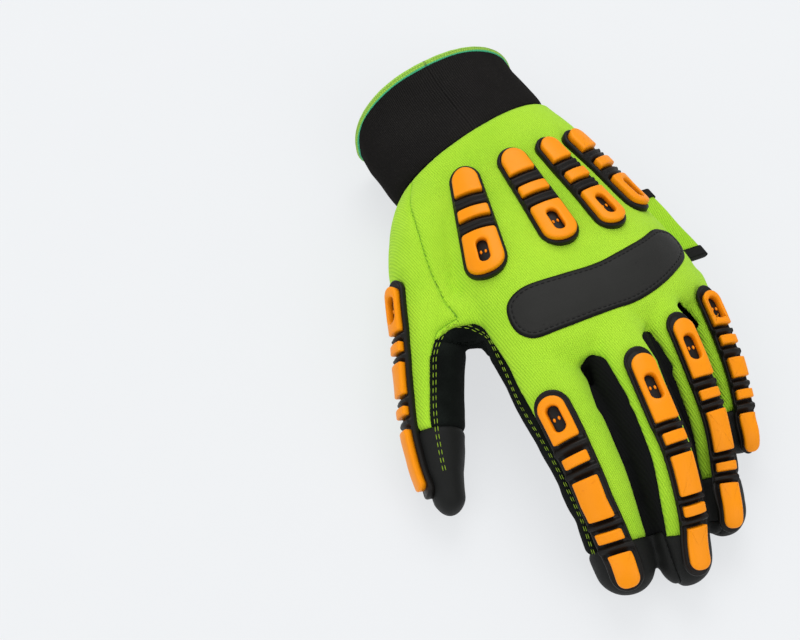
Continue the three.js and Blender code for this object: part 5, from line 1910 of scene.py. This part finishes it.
class Stitching:
    """The seams' visible stitches."""

    # The edge of the green along the thumb, the web and the forefinger
    THUMB_TURNS = (
        (0.9, 0.8, 0.73, 0.65, 0.59, 0.55, 0.515, 0.485, 0.47), (-18, -18, -17, -15, -11, -8, 2, 17, 34),
    )
    WEB_EDGE = (
        (-33.2, 10.8, 38.6), (-30.2, 8.1, 38.0), (-28.3, 2.9, 40.0), (-27.7, -2.6, 40.2), (-27.3, -9.8, 38.9),
    )
    # The dotted seam from the wrist to the web
    DOTTED = (
        (-36.0, 66.9, 39.2), (-37.0, 59.0, 41.2), (-37.9, 52.6, 42.1), (-38.6, 46.8, 42.4),
        (-39.3, 40.2, 42.4), (-39.5, 33.5, 41.7), (-38.9, 26.9, 40.4), (-38.0, 19.4, 39.2),
        (-37.0, 12.6, 38.4),
    )
    # Distances of the two rows from the edge of the green, and of the others inside their patches
    EDGE_GAPS = (1.1, 2.2)
    PATCH_GAP = 2.0
    PALM_GAP = 2.2
    JUMP = 5.0

    def __init__(self, form: Form) -> None:
        """Keeps the form that the stitches lie on."""
        self.form = form

    def landed(self, path: Iterable[Vector]) -> tuple[list[Vector], list[Vector]]:
        """Brings a path down onto the cloth, with the directions off it."""
        points, normals = [], []
        for place in path:
            hit, normal, _, _ = self.form.tree.find_nearest(place)
            points.append(hit)
            normals.append(normal)
        return points, normals

    def beside(self, path: Sequence[Vector], gap: float) -> list[Vector]:
        """A path at a distance to the right of another, seen from outside."""
        points, normals = self.landed(path)
        moved = []
        for i, (point, normal) in enumerate(zip(points, normals)):
            ahead = points[min(i + 1, len(points) - 1)] - points[max(i - 1, 0)]
            moved.append(point + ahead.normalized().cross(normal) * gap)
        return moved

    def build(self) -> None:
        """Adds every run of stitches."""
        light = Thread("edge_stitching", Look.THREAD, "green_binding")
        edge = [LINES["thumb"].station(s).around(t, 0) for s, t in zip(*self.THUMB_TURNS)]
        edge += [Vector(p) for p in self.WEB_EDGE]
        for share in np.linspace(0.36, 0.92, 9):
            turn = float(np.interp(share, *FOREFINGER_SEAM))
            edge.append(LINES["index"].station(float(share)).around(turn, 0))
        curve = Spline([p[:] for p in edge])
        path = [Vector(curve.at(t)) for t in np.linspace(0, 1, 150)]
        for gap in self.EDGE_GAPS:
            points, normals = self.landed(self.beside(path, gap))
            light.run(points, normals, 0.1)
        light.build()

        dotted = Thread("thumb_seam_stitching", Look.DARK_THREAD, "green_knit", 0.8, 1.5, 0.16)
        curve = Spline(self.DOTTED)
        dotted.run(*self.landed([Vector(curve.at(t)) for t in np.linspace(0, 1, 40)]), 0.02)
        dotted.build()
        self.patch()
        self.palm()

    def patch(self) -> None:
        """Stitches round the patch over the knuckles."""
        thread = Thread("patch_stitching", Look.BLACK_THREAD, "smooth_black", 1.5, 0.7, 0.22)
        loop = inset_outline(rounded_outline(KNUCKLE_PATCH, 160), self.PATCH_GAP)
        path, ups = [], []
        for x, y in np.vstack((loop, loop[:1])):
            hit, normal, _, _ = self.form.tree.ray_cast(Vector((x, y, 90.0)), -UP)
            path.append(hit)
            ups.append(normal)
        thread.run(path, ups, 0.95)
        thread.build()

    def palm(self) -> None:
        """Stitches inside the edge of the palm overlay."""
        thread = Thread("palm_stitching", Look.THREAD, "green_binding")
        corners = np.array(PALM_OVERLAY, float)
        loop = inset_outline(resampled(corners, 220), self.PALM_GAP)
        inside = outline_field(corners, loop) > 1.6
        path: list[Vector] = []
        ups: list[Vector] = []
        for keep, (x, y) in zip(inside, loop):
            hit, normal, _, _ = self.form.tree.ray_cast(Vector((x, y, -5.0)), UP)
            if keep and hit and hit.z < 21.0:
                path.append(hit)
                ups.append(normal)
        jumps = [i for i in range(1, len(path)) if (path[i] - path[i - 1]).length > self.JUMP]
        split = [0, *jumps, len(path)]
        for a, b in zip(split, split[1:]):
            if b - a > 3:
                lifted = [Vector((p.x, p.y, max(p.z, 0.2))) for p in path[a:b]]
                thread.run(lifted, ups[a:b], 1.0)
        for vert in thread.bm.verts:
            vert.co.z = max(vert.co.z, 0.0)
        thread.build()


class Studio:
    """Floor, light and camera."""

    LENS = 100.0
    SENSOR = 36.0
    AZIMUTH = -21.0
    ELEVATION = 60.0
    EYE = Vector((-209.404, -373.799, 772.108))
    # Each light's place and size in metres, and its power
    LIGHTS = {
        "key": (Vector((0.5, 1.5, 2.2)), 1.8, 32.0),
        "fill": (Vector((-1.8, -0.7, 1.8)), 2.4, 20.0),
        "front": (Vector((1.0, -1.8, 1.6)), 2.0, 14.4),
    }
    SKY = 0.54
    FLOOR_SIZE = 4.0

    def build(self) -> None:
        """Makes the setting of the picture."""
        bm = bmesh.new()
        bmesh.ops.create_grid(bm, x_segments=1, y_segments=1, size=self.FLOOR_SIZE)
        mesh = bpy.data.meshes.new("floor")
        bm.to_mesh(mesh)
        bm.free()
        mesh.materials.append(Look.FLOOR.material())
        floor = bpy.data.objects.new("floor", mesh)
        bpy.context.scene.collection.objects.link(floor)
        for name, settings in self.LIGHTS.items():
            self.light(name, *settings)
        world = bpy.data.worlds.new("studio")
        world.use_nodes = True
        background = world.node_tree.nodes["Background"]
        background.inputs["Color"].default_value = linear(250, 251, 255)
        background.inputs["Strength"].default_value = self.SKY
        bpy.context.scene.world = world
        bpy.context.scene.view_settings.view_transform = "Standard"
        self.camera()

    @staticmethod
    def light(name: str, place: Vector, size: float, power: float) -> None:
        """Adds a square soft light that faces the glove."""
        lamp = bpy.data.lights.new(name, "AREA")
        lamp.size = size
        lamp.energy = power
        holder = bpy.data.objects.new(name, lamp)
        holder.location = place
        holder.rotation_euler = (-place).to_track_quat("-Z", "Y").to_euler()
        bpy.context.scene.collection.objects.link(holder)

    def camera(self) -> None:
        """Adds the camera at the photograph's angle."""
        data = bpy.data.cameras.new("camera")
        data.lens = self.LENS
        data.sensor_width = self.SENSOR
        data.clip_end = 10.0
        camera = bpy.data.objects.new("camera", data)
        azimuth, elevation = math.radians(self.AZIMUTH), math.radians(self.ELEVATION)
        level = math.cos(elevation)
        back = Vector((math.sin(azimuth) * level, -math.cos(azimuth) * level, math.sin(elevation)))
        right = UP.cross(back).normalized()
        turn = Matrix((right, back.cross(right), back)).transposed().to_4x4()
        camera.matrix_world = Matrix.Translation(PLACE @ self.EYE) @ turn
        bpy.context.scene.collection.objects.link(camera)
        bpy.context.scene.camera = camera


def main() -> None:
    """Builds the glove piece by piece."""
    logging.basicConfig(level=logging.INFO, format="%(name)s: %(message)s")
    form = Form()
    Shell(form).build()
    for node, value in patch_fields().items():
        if node == "knuckle_patch":
            Overlay(form, node, value, Look.SMOOTH, "smooth_black", 0.95, 2.0, 0.25).build()
        elif node == "palm_overlay":
            Overlay(form, node, value, Look.SUEDE, "suede", 0.95, 2.2).build()
        else:
            Overlay(form, node, value, Look.SUEDE, "suede", 0.9, 1.8).build()
    Guards(form).build()
    Cuff().build()
    SideTab().build()
    Stitching(form).build()
    form.bm.free()
    Studio().build()


if __name__ == "__main__":
    main()
